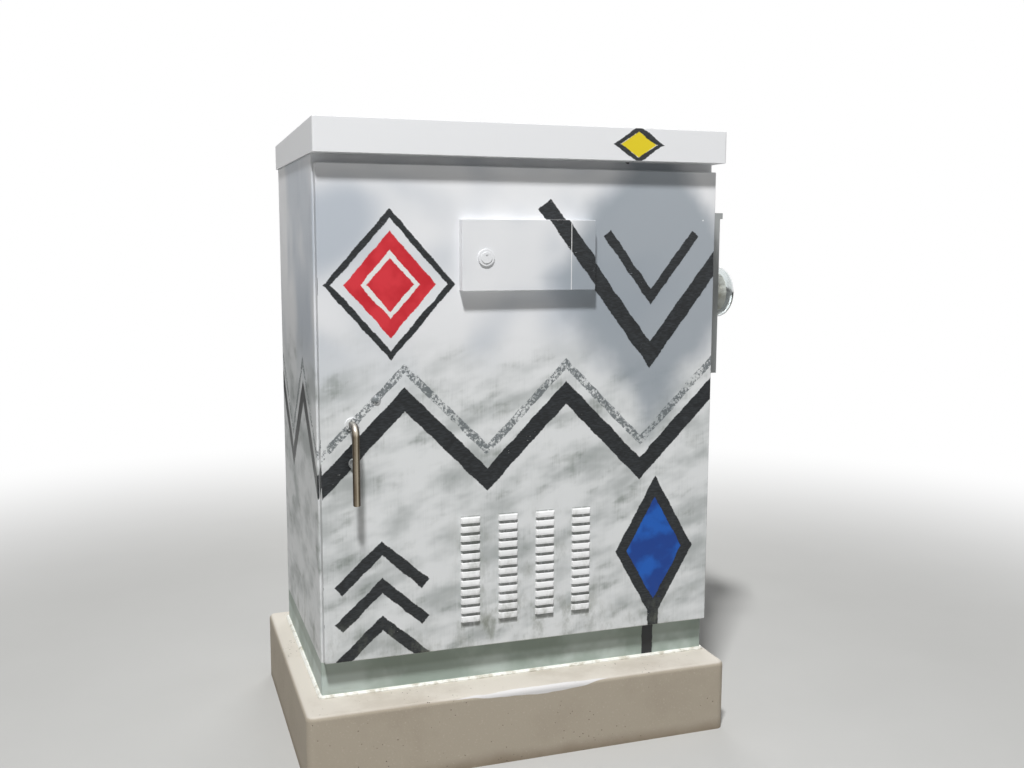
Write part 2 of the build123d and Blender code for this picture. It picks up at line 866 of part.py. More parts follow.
with BuildPart() as hinge_pin:
    round_bar(Plane.XY.offset(hinge_bottom), (hinge_x, hinge_y), hinge_pin_radius, hinge_top - hinge_bottom)
hinge_pin.part.label = "hinge_pin"
export_step(hinge_pin.part, "parts/hinge_pin.step")

# Handle: a round bar bent into its own shaft
with BuildPart() as door_handle:
    handle_y = door_face - handle_standoff
    with BuildLine() as handle_path:
        FilletPolyline(
            (handle_x, cam_back, handle_z),
            (handle_x, handle_y, handle_z),
            (handle_x, handle_y, handle_z + handle_radius - handle_length),
            radius=handle_bend_radius,
        )
    with BuildSketch(front_plane(cam_back)):
        with Locations((handle_x, handle_z)):
            Circle(handle_radius)
    sweep(path=handle_path.line)
    fillet(faces().sort_by(Axis.Z)[0].edges(), handle_end_radius)
door_handle.part.label = "door_handle"
export_step(door_handle.part, "parts/door_handle.step")

with BuildPart() as handle_bushing:
    round_bar(front_plane(door_face), (handle_x, handle_z), bushing_flange_radius, bushing_flange)
    fillet(edges().group_by(Axis.Y)[0], bushing_flange / 3)
    round_bar(
        front_plane(door_inner + bushing_tail), (handle_x, handle_z), bushing_radius, bushing_tail + sheet
    )
    round_bar(
        front_plane(door_inner + bushing_tail),
        (handle_x, handle_z),
        handle_radius + running_clearance,
        bushing_tail + sheet + bushing_flange,
        Mode.SUBTRACT,
    )
handle_bushing.part.label = "handle_bushing"
export_step(handle_bushing.part, "parts/handle_bushing.step")

# Latch cam: its nose goes behind the jamb and its two pins drive the rods
cam_pin_x = cam_pin_offset * cos(radians(cam_pin_rest_angle))
cam_pin_z = cam_pin_offset * sin(radians(cam_pin_rest_angle))
cam_pins = [(handle_x + cam_pin_x, handle_z - cam_pin_z), (handle_x - cam_pin_x, handle_z + cam_pin_z)]

with BuildPart() as latch_cam:
    with BuildSketch(front_plane(cam_back)):
        with BuildSketch(mode=Mode.PRIVATE) as cam_outline:
            with Locations((handle_x, handle_z)):
                Circle(cam_hub_radius)
            with Locations((handle_x, handle_z + cam_nose_length)):
                Circle(cam_nose_radius)
            make_hull()
        add(cam_outline.sketch)
        with BuildSketch(mode=Mode.PRIVATE) as cam_arms:
            with Locations(*cam_pins):
                Circle(2 * cam_pin_radius)
            make_hull()
        add(cam_arms.sketch)
        with Locations((handle_x, handle_z)):
            Circle(handle_radius, mode=Mode.SUBTRACT)
    extrude(amount=cam_thickness)
    for pin in cam_pins:
        round_bar(front_plane(rod_back + cam_gap), pin, cam_pin_radius, rod_thickness + 2 * cam_gap)
latch_cam.part.label = "latch_cam"
export_step(latch_cam.part, "parts/latch_cam.step")

# Latch rods: flat bars with a cross slot for the cam's pin
slot_reach = cam_pin_offset - cam_pin_x + 2 * (cam_pin_radius + cam_pin_clearance)
slot_middle = (cam_pin_offset + cam_pin_x) / 2


def latch_rod(direction, far_end):
    """A rod on one side of the handle: direction 1 runs up from the right-hand pin, -1 down."""
    pin_z = handle_z - direction * cam_pin_z
    slot_x = handle_x + direction * slot_middle
    rod_x = handle_x + direction * rod_offset
    near_end = pin_z - direction * (cam_pin_radius + cam_pin_clearance + rod_slot_margin)
    plate_end = pin_z + direction * (cam_pin_radius + cam_pin_clearance + rod_slot_margin)
    with BuildPart() as rod:
        with BuildSketch(front_plane(rod_back)):
            with Locations((slot_x, (near_end + plate_end) / 2)):
                RectangleRounded(
                    slot_reach + 2 * rod_slot_margin, abs(plate_end - near_end), rod_corner_radius
                )
            with Locations((rod_x, (plate_end + far_end) / 2)):
                Rectangle(rod_width, abs(far_end - plate_end) + rod_slot_margin)
            with Locations((slot_x, pin_z)):
                Rectangle(slot_reach, 2 * (cam_pin_radius + cam_pin_clearance), mode=Mode.SUBTRACT)
        extrude(amount=rod_thickness)
    return rod


upper_latch_rod = latch_rod(1, opening_top - rod_end_clearance)
upper_latch_rod.part.label = "upper_latch_rod"
export_step(upper_latch_rod.part, "parts/upper_latch_rod.step")

lower_latch_rod = latch_rod(-1, opening_bottom + rod_end_clearance)
lower_latch_rod.part.label = "lower_latch_rod"
export_step(lower_latch_rod.part, "parts/lower_latch_rod.step")

# Rod guides: two straps for each rod, welded to the door
guide_places = [
    (handle_x + direction * rod_offset, handle_z + direction * distance)
    for direction in (1, -1)
    for distance in (guide_end_distance, (opening_top - opening_bottom) / 2 - guide_margin)
]

with BuildPart() as rod_guides:
    for x, z in guide_places:
        block(
            (x - guide_width / 2, x + guide_width / 2),
            (door_inner, rod_back + flat_clearance + guide_sheet),
            (z - guide_height / 2, z + guide_height / 2),
        )
        block(
            (x - rod_width / 2 - flat_clearance, x + rod_width / 2 + flat_clearance),
            (rod_front - flat_clearance, rod_back + flat_clearance),
            (z - guide_height, z + guide_height),
            mode=Mode.SUBTRACT,
        )
        block(
            (x - rod_width / 2 - flat_clearance, x + rod_width / 2 + flat_clearance),
            (door_inner + guide_sheet, rod_front - flat_clearance - guide_sheet),
            (z - guide_height, z + guide_height),
            mode=Mode.SUBTRACT,
        )
rod_guides.part.label = "rod_guides"
export_step(rod_guides.part, "parts/rod_guides.step")


def lock_barrel(x, z, face, skin, collar_radius, collar, tail):
    """A fixed lock body: a collar outside the skin and a bored barrel through it."""
    back = face + skin + tail
    with BuildPart() as barrel:
        round_bar(front_plane(face), (x, z), collar_radius, collar)
        fillet(edges().group_by(Axis.Y)[0], collar / 4)
        round_bar(front_plane(back), (x, z), lock_barrel_radius, skin + tail)
        round_bar(
            front_plane(back), (x, z), plug_radius + running_clearance, skin + tail + collar, Mode.SUBTRACT
        )
    return barrel


def lock_plug(x, z, face, skin, collar, tail, cam_length):
    """A turning plug with a keyway in front and a flat cam hanging behind."""
    back = face + skin + tail
    with BuildPart() as plug:
        round_bar(front_plane(back), (x, z), plug_radius, skin + tail + collar)
        with BuildSketch(front_plane(back + flat_clearance + lock_cam_thickness)):
            with Locations((x, z)):
                Circle(plug_radius)
            with Locations((x, z - cam_length / 2)):
                RectangleRounded(lock_cam_width, cam_length + lock_cam_width, lock_cam_width / 3)
        extrude(amount=lock_cam_thickness)
        round_bar(front_plane(back + flat_clearance), (x, z), plug_radius, flat_clearance)
        block(
            (x - keyway_width / 2, x + keyway_width / 2),
            (face - collar, face - collar + keyway_depth),
            (z - keyway_height / 2, z + keyway_height / 2),
            mode=Mode.SUBTRACT,
        )
    return plug


# Key lock beside the handle
door_lock_barrel = lock_barrel(lock_x, lock_z, door_face, sheet, lock_collar_radius, lock_collar, lock_tail)
door_lock_barrel.part.label = "door_lock_barrel"
export_step(door_lock_barrel.part, "parts/door_lock_barrel.step")

door_lock_plug = lock_plug(lock_x, lock_z, door_face, sheet, lock_collar, lock_tail, lock_cam_length)
door_lock_plug.part.label = "door_lock_plug"
export_step(door_lock_plug.part, "parts/door_lock_plug.step")

# Domed bolt near the handle
with BuildPart() as domed_bolt:
    dome_sphere = (domed_bolt_radius**2 + domed_bolt_rise**2) / (2 * domed_bolt_rise)
    dome_angle = asin(domed_bolt_radius / dome_sphere) / 2
    with BuildSketch(side_plane(domed_bolt_x)) as dome_profile:
        with BuildLine():
            dome_arc = ThreePointArc(
                (door_face, domed_bolt_z + domed_bolt_radius),
                (
                    door_face - domed_bolt_rise + dome_sphere * (1 - cos(dome_angle)),
                    domed_bolt_z + dome_sphere * sin(dome_angle),
                ),
                (door_face - domed_bolt_rise, domed_bolt_z),
            )
            Polyline(
                dome_arc @ 1,
                (door_inner + domed_bolt_tail, domed_bolt_z),
                (door_inner + domed_bolt_tail, domed_bolt_z + domed_bolt_shank),
                (door_face, domed_bolt_z + domed_bolt_shank),
                dome_arc @ 0,
            )
        make_face()
    revolve(axis=Axis((domed_bolt_x, 0, domed_bolt_z), (0, 1, 0)))
domed_bolt.part.label = "domed_bolt"
export_step(domed_bolt.part, "parts/domed_bolt.step")

# Small service door: a raised pan
with BuildPart() as service_door:
    with BuildSketch(front_plane(door_face - service_gap)):
        with Locations((service_left + service_width / 2, service_bottom + service_height / 2)):
            Rectangle(service_width, service_height)
    extrude(amount=service_depth)
    fillet(edges().filter_by(Axis.Y), service_edge_radius)
    fillet(faces().sort_by(Axis.Y)[0].edges(), service_edge_radius * 0.6)
    block(
        (service_left + service_sheet, service_right - service_sheet),
        (service_face + service_sheet, door_face),
        (service_bottom + service_sheet, service_top - service_sheet),
        mode=Mode.SUBTRACT,
    )
    round_bar(
        front_plane(service_face + service_sheet),
        (service_lock_x, service_lock_z),
        lock_barrel_radius,
        service_sheet,
        Mode.SUBTRACT,
    )
service_door.part.label = "service_door"
export_step(service_door.part, "parts/service_door.step")

# Hinge of the small service door, on its right-hand edge
small_bottom = service_bottom + small_end_margin
small_top = service_top - small_end_margin
moving_knuckles = knuckle_spans(small_bottom, small_top, small_knuckles, small_knuckle_gap, 1)
fixed_knuckles = knuckle_spans(small_bottom, small_top, small_knuckles, small_knuckle_gap, 0)

with BuildPart() as service_fixed_leaf:
    block(
        (small_hinge_x + small_barrel_radius + small_knuckle_gap, small_hinge_x + small_leaf_reach),
        (door_face - small_leaf, door_face),
        (small_bottom, small_top),
    )
    for low, high in fixed_knuckles:
        with BuildSketch(Plane.XY.offset(low)):
            with Locations((small_hinge_x, small_hinge_y)):
                Circle(small_barrel_radius)
            with Locations(
                (small_hinge_x + small_barrel_radius / 2 + small_knuckle_gap, door_face - small_leaf / 2)
            ):
                Rectangle(small_barrel_radius + 2 * small_knuckle_gap, small_leaf)
            with Locations((small_hinge_x, small_hinge_y)):
                Circle(small_pin_radius, mode=Mode.SUBTRACT)
        extrude(amount=high - low)
service_fixed_leaf.part.label = "service_fixed_leaf"
export_step(service_fixed_leaf.part, "parts/service_fixed_leaf.step")

with BuildPart() as service_moving_leaf:
    block(
        (service_right, service_right + small_leaf),
        (service_face + 2 * service_edge_radius, small_hinge_y - small_barrel_radius - small_knuckle_gap),
        (small_bottom, small_top),
    )
    for low, high in moving_knuckles:
        with BuildSketch(Plane.XY.offset(low)):
            with Locations((small_hinge_x, small_hinge_y)):
                Circle(small_barrel_radius)
            with Locations(
                (
                    service_right + small_leaf / 2,
                    small_hinge_y - small_barrel_radius / 2 - small_knuckle_gap,
                )
            ):
                Rectangle(small_leaf, small_barrel_radius + 2 * small_knuckle_gap)
            with Locations((small_hinge_x, small_hinge_y)):
                Circle(small_pin_radius + running_clearance, mode=Mode.SUBTRACT)
        extrude(amount=high - low)
service_moving_leaf.part.label = "service_moving_leaf"
export_step(service_moving_leaf.part, "parts/service_moving_leaf.step")

with BuildPart() as service_hinge_pin:
    round_bar(
        Plane.XY.offset(small_bottom),
        (small_hinge_x, small_hinge_y),
        small_pin_radius,
        small_top - small_bottom,
    )
service_hinge_pin.part.label = "service_hinge_pin"
export_step(service_hinge_pin.part, "parts/service_hinge_pin.step")

# Lock of the small service door; its cam reaches behind the main door's skin
service_lock_tail = door_inner + service_cam_gap - service_face - service_sheet
service_lock_barrel = lock_barrel(
    service_lock_x,
    service_lock_z,
    service_face,
    service_sheet,
    service_lock_collar_radius,
    service_lock_collar,
    service_lock_tail,
)
cover_face = service_face - service_lock_collar - flat_clearance
cover_pivot_z = service_lock_z + cover_pivot_rise
with service_lock_barrel:
    # Rivet that carries the keyhole cover
    round_bar(
        front_plane(service_face - service_lock_collar),
        (service_lock_x, cover_pivot_z),
        rivet_radius,
        2 * flat_clearance + cover_thickness,
    )
    round_bar(
        front_plane(cover_face - cover_thickness - flat_clearance),
        (service_lock_x, cover_pivot_z),
        rivet_head_radius,
        rivet_head,
    )
service_lock_barrel.part.label = "service_lock_barrel"
export_step(service_lock_barrel.part, "parts/service_lock_barrel.step")

service_lock_plug = lock_plug(
    service_lock_x,
    service_lock_z,
    service_face,
    service_sheet,
    service_lock_collar,
    service_lock_tail,
    service_cam_length,
)
service_lock_plug.part.label = "service_lock_plug"
export_step(service_lock_plug.part, "parts/service_lock_plug.step")

# Keyhole cover: a disc that hangs from the rivet in the lock's collar
with BuildPart() as keyhole_cover:
    round_bar(front_plane(cover_face), (service_lock_x, service_lock_z), cover_radius, cover_thickness)
    chamfer(edges().group_by(Axis.Y)[0], cover_thickness / 3)
    round_bar(
        front_plane(cover_face),
        (service_lock_x, cover_pivot_z),
        rivet_radius + running_clearance,
        cover_thickness,
        Mode.SUBTRACT,
    )
keyhole_cover.part.label = "keyhole_cover"
export_step(keyhole_cover.part, "parts/keyhole_cover.step")

# Service compartment: an open box behind the main door's skin
with BuildPart() as service_compartment:
    block(
        (compartment_left - compartment_flange, compartment_right + compartment_flange),
        (door_inner, door_inner + compartment_sheet),
        (compartment_bottom - compartment_flange, compartment_top + compartment_flange),
    )
    block(
        (compartment_left - compartment_sheet, compartment_right + compartment_sheet),
        (door_inner, compartment_back + compartment_sheet),
        (compartment_bottom - compartment_sheet, compartment_top + compartment_sheet),
    )
    block(
        (compartment_left, compartment_right),
        (door_inner, compartment_back),
        (compartment_bottom, compartment_top),
        mode=Mode.SUBTRACT,
    )
service_compartment.part.label = "service_compartment"
export_step(service_compartment.part, "parts/service_compartment.step")

# Switch plate on folded feet, with three collared holes
compartment_x = (compartment_left + compartment_right) / 2
compartment_z = (compartment_bottom + compartment_top) / 2
toggle_places = [(compartment_x + i * toggle_spacing, compartment_z) for i in (-1, 0, 1)]
toggle_y = switch_plate_y - switch_plate_sheet - toggle_collar / 2

with BuildPart() as switch_plate:
    block(
        (compartment_x - switch_plate_width / 2, compartment_x + switch_plate_width / 2),
        (switch_plate_y - switch_plate_sheet, compartment_back),
        (compartment_z - switch_plate_height / 2, compartment_z + switch_plate_height / 2),
    )
    block(
        (
            compartment_x - switch_plate_width / 2 + switch_plate_sheet,
            compartment_x + switch_plate_width / 2 - switch_plate_sheet,
        ),
        (switch_plate_y, compartment_back),
        (compartment_z - switch_plate_height, compartment_z + switch_plate_height),
        mode=Mode.SUBTRACT,
    )
    for place in toggle_places:
        round_bar(
            front_plane(switch_plate_y - switch_plate_sheet), place, toggle_collar_radius, toggle_collar
        )
    for x, z in toggle_places:
        with Locations((x, toggle_y, z)):
            Sphere(toggle_ball_radius + running_clearance, mode=Mode.SUBTRACT)
        with BuildSketch(front_plane(toggle_y)):
            with Locations((x, z)):
                Circle(toggle_ball_radius - flat_clearance)
        extrude(amount=toggle_collar, taper=-toggle_socket_flare, mode=Mode.SUBTRACT)
switch_plate.part.label = "switch_plate"
export_step(switch_plate.part, "parts/switch_plate.step")


def toggle_lever(place):
    """A bat lever on a ball, in its middle position."""
    x, z = place
    with BuildPart() as lever:
        with Locations((x, toggle_y, z)):
            Sphere(toggle_ball_radius)
        with BuildSketch(front_plane(toggle_y)):
            with Locations((x, z)):
                Circle(toggle_stem_radius)
        with BuildSketch(front_plane(toggle_y - toggle_length)):
            with Locations((x, z)):
                Circle(toggle_tip_radius)
        loft()
        fillet(faces().sort_by(Axis.Y)[0].edges(), toggle_tip_radius * 0.6)
    return lever


flash_toggle = toggle_lever(toggle_places[0])
flash_toggle.part.label = "flash_toggle"
export_step(flash_toggle.part, "parts/flash_toggle.step")

signal_toggle = toggle_lever(toggle_places[1])
signal_toggle.part.label = "signal_toggle"
export_step(signal_toggle.part, "parts/signal_toggle.step")

manual_toggle = toggle_lever(toggle_places[2])
manual_toggle.part.label = "manual_toggle"
export_step(manual_toggle.part, "parts/manual_toggle.step")

# Filter holder: a frame with a rear lip, open in front to the louvres
filter_left = louvre_field_x - filter_width / 2
filter_bottom = louvre_field_z - filter_height / 2
holder_back = door_inner + filter_thickness + filter_clearance + filter_sheet
with BuildPart() as filter_holder:
    with BuildSketch(front_plane(holder_back)):
        with Locations((louvre_field_x, louvre_field_z)):
            Rectangle(
                filter_width + 2 * (filter_clearance + filter_sheet), filter_height + 2 * filter_sheet
            )
    extrude(amount=holder_back - door_inner)
    with BuildSketch(front_plane(holder_back - filter_sheet)):
        with Locations((louvre_field_x, louvre_field_z)):
            Rectangle(filter_width + 2 * filter_clearance, filter_height)
    extrude(amount=holder_back - filter_sheet - door_inner, mode=Mode.SUBTRACT)
    with BuildSketch(front_plane(holder_back)):
        with Locations((louvre_field_x, louvre_field_z)):
            Rectangle(filter_width - 2 * filter_lip, filter_height - 2 * filter_lip)
    extrude(amount=filter_sheet, mode=Mode.SUBTRACT)
filter_holder.part.label = "filter_holder"
export_step(filter_holder.part, "parts/filter_holder.step")

# Air filter: a pleated pack in a card frame
with BuildPart() as air_filter:
    filter_back = holder_back - filter_sheet
    pleat = (filter_width - 2 * filter_border) / filter_pleats
    pleat_points = []
    for i in range(filter_pleats):
        start = filter_left + filter_border + i * pleat
        pleat_points.append((start, filter_back - filter_back_margin))
        pleat_points.append((start + pleat / 2, filter_back - filter_thickness + filter_front_margin))
    pleat_points.append((filter_left + filter_width - filter_border, filter_back - filter_back_margin))
    folded_back = [(x, y - filter_media) for x, y in reversed(pleat_points)]
    with BuildSketch(Plane.XY.offset(filter_bottom)):
        with BuildLine():
            Polyline(*pleat_points, *folded_back, close=True)
        make_face()
    extrude(amount=filter_height)
    with BuildSketch(front_plane(filter_back)):
        with Locations((louvre_field_x, louvre_field_z)):
            Rectangle(filter_width, filter_height)
            Rectangle(
                filter_width - 2 * filter_border, filter_height - 2 * filter_border, mode=Mode.SUBTRACT
            )
    extrude(amount=filter_thickness)
air_filter.part.label = "air_filter"
export_step(air_filter.part, "parts/air_filter.step")

# Four lipped channels on the side walls, open towards the inside
with BuildPart() as mounting_channels:
    for direction in (-1, 1):
        wall = direction * (side - sheet)
        lip_x = wall - direction * (channel_depth - channel_sheet / 2)
        for y in (-channel_front, channel_rear):
            with BuildSketch(Plane.XY.offset(channel_bottom)):
                with Locations((wall - direction * channel_depth / 2, y)):
                    Rectangle(channel_depth, channel_width)
                with Locations((wall - direction * (channel_sheet + channel_depth) / 2, y)):
                    Rectangle(
                        channel_depth - channel_sheet, channel_width - 2 * channel_sheet, mode=Mode.SUBTRACT
                    )
                for edge in (-1, 1):
                    with Locations((lip_x, y + edge * (channel_width - channel_lip) / 2)):
                        Rectangle(channel_sheet, channel_lip)
            extrude(amount=channel_top - channel_bottom)
mounting_channels.part.label = "mounting_channels"
export_step(mounting_channels.part, "parts/mounting_channels.step")


def shelf(z):
    """A folded shelf between the channels, with down-turned edges."""
    reach = side - sheet - channel_depth
    with BuildPart() as tray:
        block((-reach, reach), (-shelf_front, shelf_rear), (z - shelf_flange, z))
        block(
            (-reach + shelf_sheet, reach - shelf_sheet),
            (-shelf_front + shelf_sheet, shelf_rear - shelf_sheet),
            (z - shelf_flange, z - shelf_sheet),
            mode=Mode.SUBTRACT,
        )
    return tray


upper_shelf = shelf(upper_shelf_z)
upper_shelf.part.label = "upper_shelf"
export_step(upper_shelf.part, "parts/upper_shelf.step")

lower_shelf = shelf(lower_shelf_z)
lower_shelf.part.label = "lower_shelf"
export_step(lower_shelf.part, "parts/lower_shelf.step")

# Controller on the upper shelf
controller_front = -shelf_front + 2 * controller_bezel
with BuildPart() as controller_case:
    block(
        (controller_x - controller_width / 2, controller_x + controller_width / 2),
        (controller_front, controller_front + controller_depth),
        (upper_shelf_z, upper_shelf_z + controller_height),
    )
    fillet(edges().filter_by(Axis.Y), case_radius)
    block(
        (
            controller_x - controller_width / 2 + case_sheet,
            controller_x + controller_width / 2 - case_sheet,
        ),
        (controller_front, controller_front + controller_depth - case_sheet),
        (upper_shelf_z + case_sheet, upper_shelf_z + controller_height - case_sheet),
        mode=Mode.SUBTRACT,
    )
controller_case.part.label = "controller_case"
export_step(controller_case.part, "parts/controller_case.step")

controller_middle = upper_shelf_z + controller_height / 2
with BuildPart() as controller_panel:
    block(
        (controller_x - controller_width / 2, controller_x + controller_width / 2),
        (controller_front - controller_bezel, controller_front),
        (upper_shelf_z, upper_shelf_z + controller_height),
    )
    fillet(edges().filter_by(Axis.Y), case_radius)
    block(
        (controller_x - screen_width, controller_x),
        (controller_front - controller_bezel, controller_front - controller_bezel + screen_recess),
        (controller_middle + screen_rise, controller_middle + screen_rise + screen_height),
        mode=Mode.SUBTRACT,
    )
    with BuildSketch(front_plane(controller_front - controller_bezel)):
        with Locations((controller_x + controller_width / 4, controller_middle)):
            with GridLocations(key_pitch, key_pitch, keypad_columns, keypad_rows):
                RectangleRounded(key_size, key_size, key_size / 6)
    extrude(amount=key_rise)
controller_panel.part.label = "controller_panel"
export_step(controller_panel.part, "parts/controller_panel.step")

# Malfunction monitor beside the controller
with BuildPart() as monitor_unit:
    block(
        (monitor_x - monitor_width / 2, monitor_x + monitor_width / 2),
        (controller_front, controller_front + monitor_depth),
        (upper_shelf_z, upper_shelf_z + monitor_height),
    )
    fillet(edges().filter_by(Axis.Y), case_radius)
    block(
        (monitor_x - monitor_width / 4, monitor_x + monitor_width / 4),
        (controller_front, controller_front + screen_recess),
        (upper_shelf_z + monitor_height * 0.6, upper_shelf_z + monitor_height * 0.85),
        mode=Mode.SUBTRACT,
    )
monitor_unit.part.label = "monitor_unit"
export_step(monitor_unit.part, "parts/monitor_unit.step")

# Detector rack on the lower shelf
rack_width = card_slots * card_pitch + 2 * rack_side_gap
with BuildPart() as detector_rack:
    block(
        (-rack_width / 2, rack_width / 2),
        (controller_front, controller_front + card_depth + rack_sheet),
        (lower_shelf_z, lower_shelf_z + card_height + 2 * rack_sheet),
    )
    block(
        (-rack_width / 2 + rack_sheet, rack_width / 2 - rack_sheet),
        (controller_front, controller_front + card_depth),
        (lower_shelf_z + rack_sheet, lower_shelf_z + card_height + rack_sheet),
        mode=Mode.SUBTRACT,
    )
detector_rack.part.label = "detector_rack"
export_step(detector_rack.part, "parts/detector_rack.step")

with BuildPart() as detector_cards:
    with Locations(
        (0, controller_front + card_depth / 2, lower_shelf_z + rack_sheet + card_height / 2)
    ):
        with GridLocations(card_pitch, card_depth, card_slots, 1):
            Box(card_thickness, card_depth, card_height)
detector_cards.part.label = "detector_cards"
export_step(detector_cards.part, "parts/detector_cards.step")

# Back panel: a tray on the rear wall, with twelve load switches and terminal strips
panel_face = rear - sheet - panel_depth
with BuildPart() as back_panel:
    block(
        (-panel_width / 2, panel_width / 2),
        (panel_face, rear - sheet),
        (panel_bottom, panel_bottom + panel_height),
    )
    block(
        (-panel_width / 2 + panel_sheet, panel_width / 2 - panel_sheet),
        (panel_face + panel_sheet, rear - sheet),
        (panel_bottom + panel_sheet, panel_bottom + panel_height - panel_sheet),
        mode=Mode.SUBTRACT,
    )
back_panel.part.label = "back_panel"
export_step(back_panel.part, "parts/back_panel.step")

with BuildPart() as load_switches:
    with BuildSketch(front_plane(panel_face)):
        with Locations((0, switch_z)):
            with GridLocations(switch_pitch, switch_height, switch_count, 1):
                Rectangle(switch_width, switch_height)
    extrude(amount=switch_depth)
    with BuildSketch(front_plane(panel_face - switch_depth)):
        with Locations((0, switch_z)):
            with GridLocations(switch_pitch, switch_height, switch_count, 1):
                Rectangle(switch_handle, switch_height * 0.6)
    extrude(amount=switch_handle)
load_switches.part.label = "load_switches"
export_step(load_switches.part, "parts/load_switches.step")

with BuildPart() as terminal_strips:
    with BuildSketch(front_plane(panel_face)):
        with Locations((0, strip_z)):
            with GridLocations(strip_pitch, strip_height, strip_count, 1):
                Rectangle(strip_width, strip_height)
    extrude(amount=strip_screw_deck)
    with BuildSketch(front_plane(panel_face)):
        with Locations((0, strip_z)):
            with GridLocations(strip_pitch, strip_height, strip_count, 1):
                with GridLocations(strip_width / strip_ribs, strip_height, strip_ribs, 1):
                    Rectangle(strip_rib_thickness, strip_height)
    extrude(amount=strip_depth)
terminal_strips.part.label = "terminal_strips"
export_step(terminal_strips.part, "parts/terminal_strips.step")

# Power panel on the hinge-side wall, with the main breaker
power_face = side - sheet - power_panel_depth
with BuildPart() as power_panel:
    block(
        (power_face, side - sheet),
        (-power_panel_width / 2, power_panel_width / 2),
        (power_panel_bottom, power_panel_bottom + power_panel_height),
    )
    block(
        (power_face + panel_sheet, side - sheet),
        (-power_panel_width / 2 + panel_sheet, power_panel_width / 2 - panel_sheet),
        (power_panel_bottom + panel_sheet, power_panel_bottom + power_panel_height - panel_sheet),
        mode=Mode.SUBTRACT,
    )
power_panel.part.label = "power_panel"
export_step(power_panel.part, "parts/power_panel.step")

breaker_face = power_face - breaker_depth
breaker_pivot = breaker_face + breaker_lever_radius
with BuildPart() as main_breaker:
    block(
        (breaker_face, power_face),
        (-breaker_width / 2, breaker_width / 2),
        (breaker_z - breaker_height / 2, breaker_z + breaker_height / 2),
    )
    fillet(edges().filter_by(Axis.X), case_radius)
    block(
        (breaker_face, breaker_face + breaker_slot_depth),
        (-breaker_slot_width / 2, breaker_slot_width / 2),
        (breaker_z - breaker_slot_height / 2, breaker_z + breaker_slot_height / 2),
        mode=Mode.SUBTRACT,
    )
    with BuildSketch(Plane.XZ.offset(-breaker_slot_width / 2 - breaker_pin_length)):
        with Locations((breaker_pivot, breaker_z)):
            Circle(breaker_pin_radius + running_clearance)
    extrude(amount=breaker_slot_width + 2 * breaker_pin_length, mode=Mode.SUBTRACT)
main_breaker.part.label = "main_breaker"
export_step(main_breaker.part, "parts/main_breaker.step")

with BuildPart() as breaker_lever:
    with BuildSketch(Plane.XZ.offset(-breaker_lever_width / 2)):
        with Locations((breaker_pivot, breaker_z)):
            Circle(breaker_lever_radius)
        with Locations((breaker_pivot - (breaker_lever_length + breaker_lever_radius) / 2, breaker_z)):
            Rectangle(breaker_lever_length + breaker_lever_radius, breaker_lever_thickness)
    extrude(amount=breaker_lever_width)
    with BuildSketch(Plane.XZ.offset(-breaker_slot_width / 2 - breaker_pin_length)):
        with Locations((breaker_pivot, breaker_z)):
            Circle(breaker_pin_radius)
    extrude(amount=breaker_slot_width + 2 * breaker_pin_length)
breaker_lever.part.label = "breaker_lever"
export_step(breaker_lever.part, "parts/breaker_lever.step")

# Ground bar on two posts on the handle-side wall
ground_face = -side + sheet + ground_bar_standoff
with BuildPart() as ground_bar:
    block(
        (ground_face, ground_face + ground_bar_thickness),
        (-ground_bar_length / 2, ground_bar_length / 2),
        (ground_bar_z, ground_bar_z + ground_bar_height),
    )
    for y in (-1, 1):
        round_bar(
            side_plane(-side + sheet),
            (y * (ground_bar_length / 2 - ground_bar_height / 2), ground_bar_z + ground_bar_height / 2),
            ground_bar_height / 3,
            ground_bar_standoff,
        )
    with BuildSketch(side_plane(ground_face + ground_bar_thickness)):
        with Locations((0, ground_bar_z + ground_bar_height / 2)):
            with GridLocations(ground_bar_length / (ground_screws + 1), ground_bar_height, ground_screws, 1):
                Circle(ground_screw_radius)
    extrude(amount=ground_screw_radius)
ground_bar.part.label = "ground_bar"
export_step(ground_bar.part, "parts/ground_bar.step")

# Fan plate across the top of the cabinet
fan_plate_front = front + sheet + fan_plate_front_gap
with BuildPart() as fan_plate:
    block(
        (-side + sheet, side - sheet),
        (fan_plate_front, rear - sheet),
        (fan_plate_z, fan_plate_z + fan_plate_sheet),
    )
    block(
        (-side + sheet, side - sheet),
        (fan_plate_front, fan_plate_front + fan_plate_sheet),
        (fan_plate_z, fan_plate_z + fan_plate_lip),
    )
    fillet(edges().filter_by(Axis.Z).group_by(Axis.Y)[-1], bend_radius - sheet)
    round_bar(Plane.XY.offset(fan_plate_z), (fan_x, 0), fan_bore_radius, fan_plate_sheet, Mode.SUBTRACT)
fan_plate.part.label = "fan_plate"
export_step(fan_plate.part, "parts/fan_plate.step")

fan_bottom = fan_plate_z + fan_plate_sheet
with BuildPart() as fan_frame:
    with BuildSketch(Plane.XY.offset(fan_bottom)):
        with Locations((fan_x, 0)):
            RectangleRounded(fan_size, fan_size, case_radius)
            Circle(fan_bore_radius, mode=Mode.SUBTRACT)
    extrude(amount=fan_depth)
    # Three struts carry the motor under the rotor
    with BuildSketch(Plane.XY.offset(fan_bottom)):
        with Locations((fan_x, 0)):
            with PolarLocations((fan_bore_radius + fan_motor_radius) / 2, 3, start_angle=30):
                Rectangle(fan_bore_radius - fan_motor_radius + fan_strut_width, fan_strut_width)
    extrude(amount=fan_strut_height)
    round_bar(Plane.XY.offset(fan_bottom), (fan_x, 0), fan_motor_radius, fan_motor_height)
    round_bar(
        Plane.XY.offset(fan_bottom),
        (fan_x, 0),
        fan_shaft_radius + running_clearance,
        fan_motor_height,
        Mode.SUBTRACT,
    )
fan_frame.part.label = "fan_frame"
export_step(fan_frame.part, "parts/fan_frame.step")

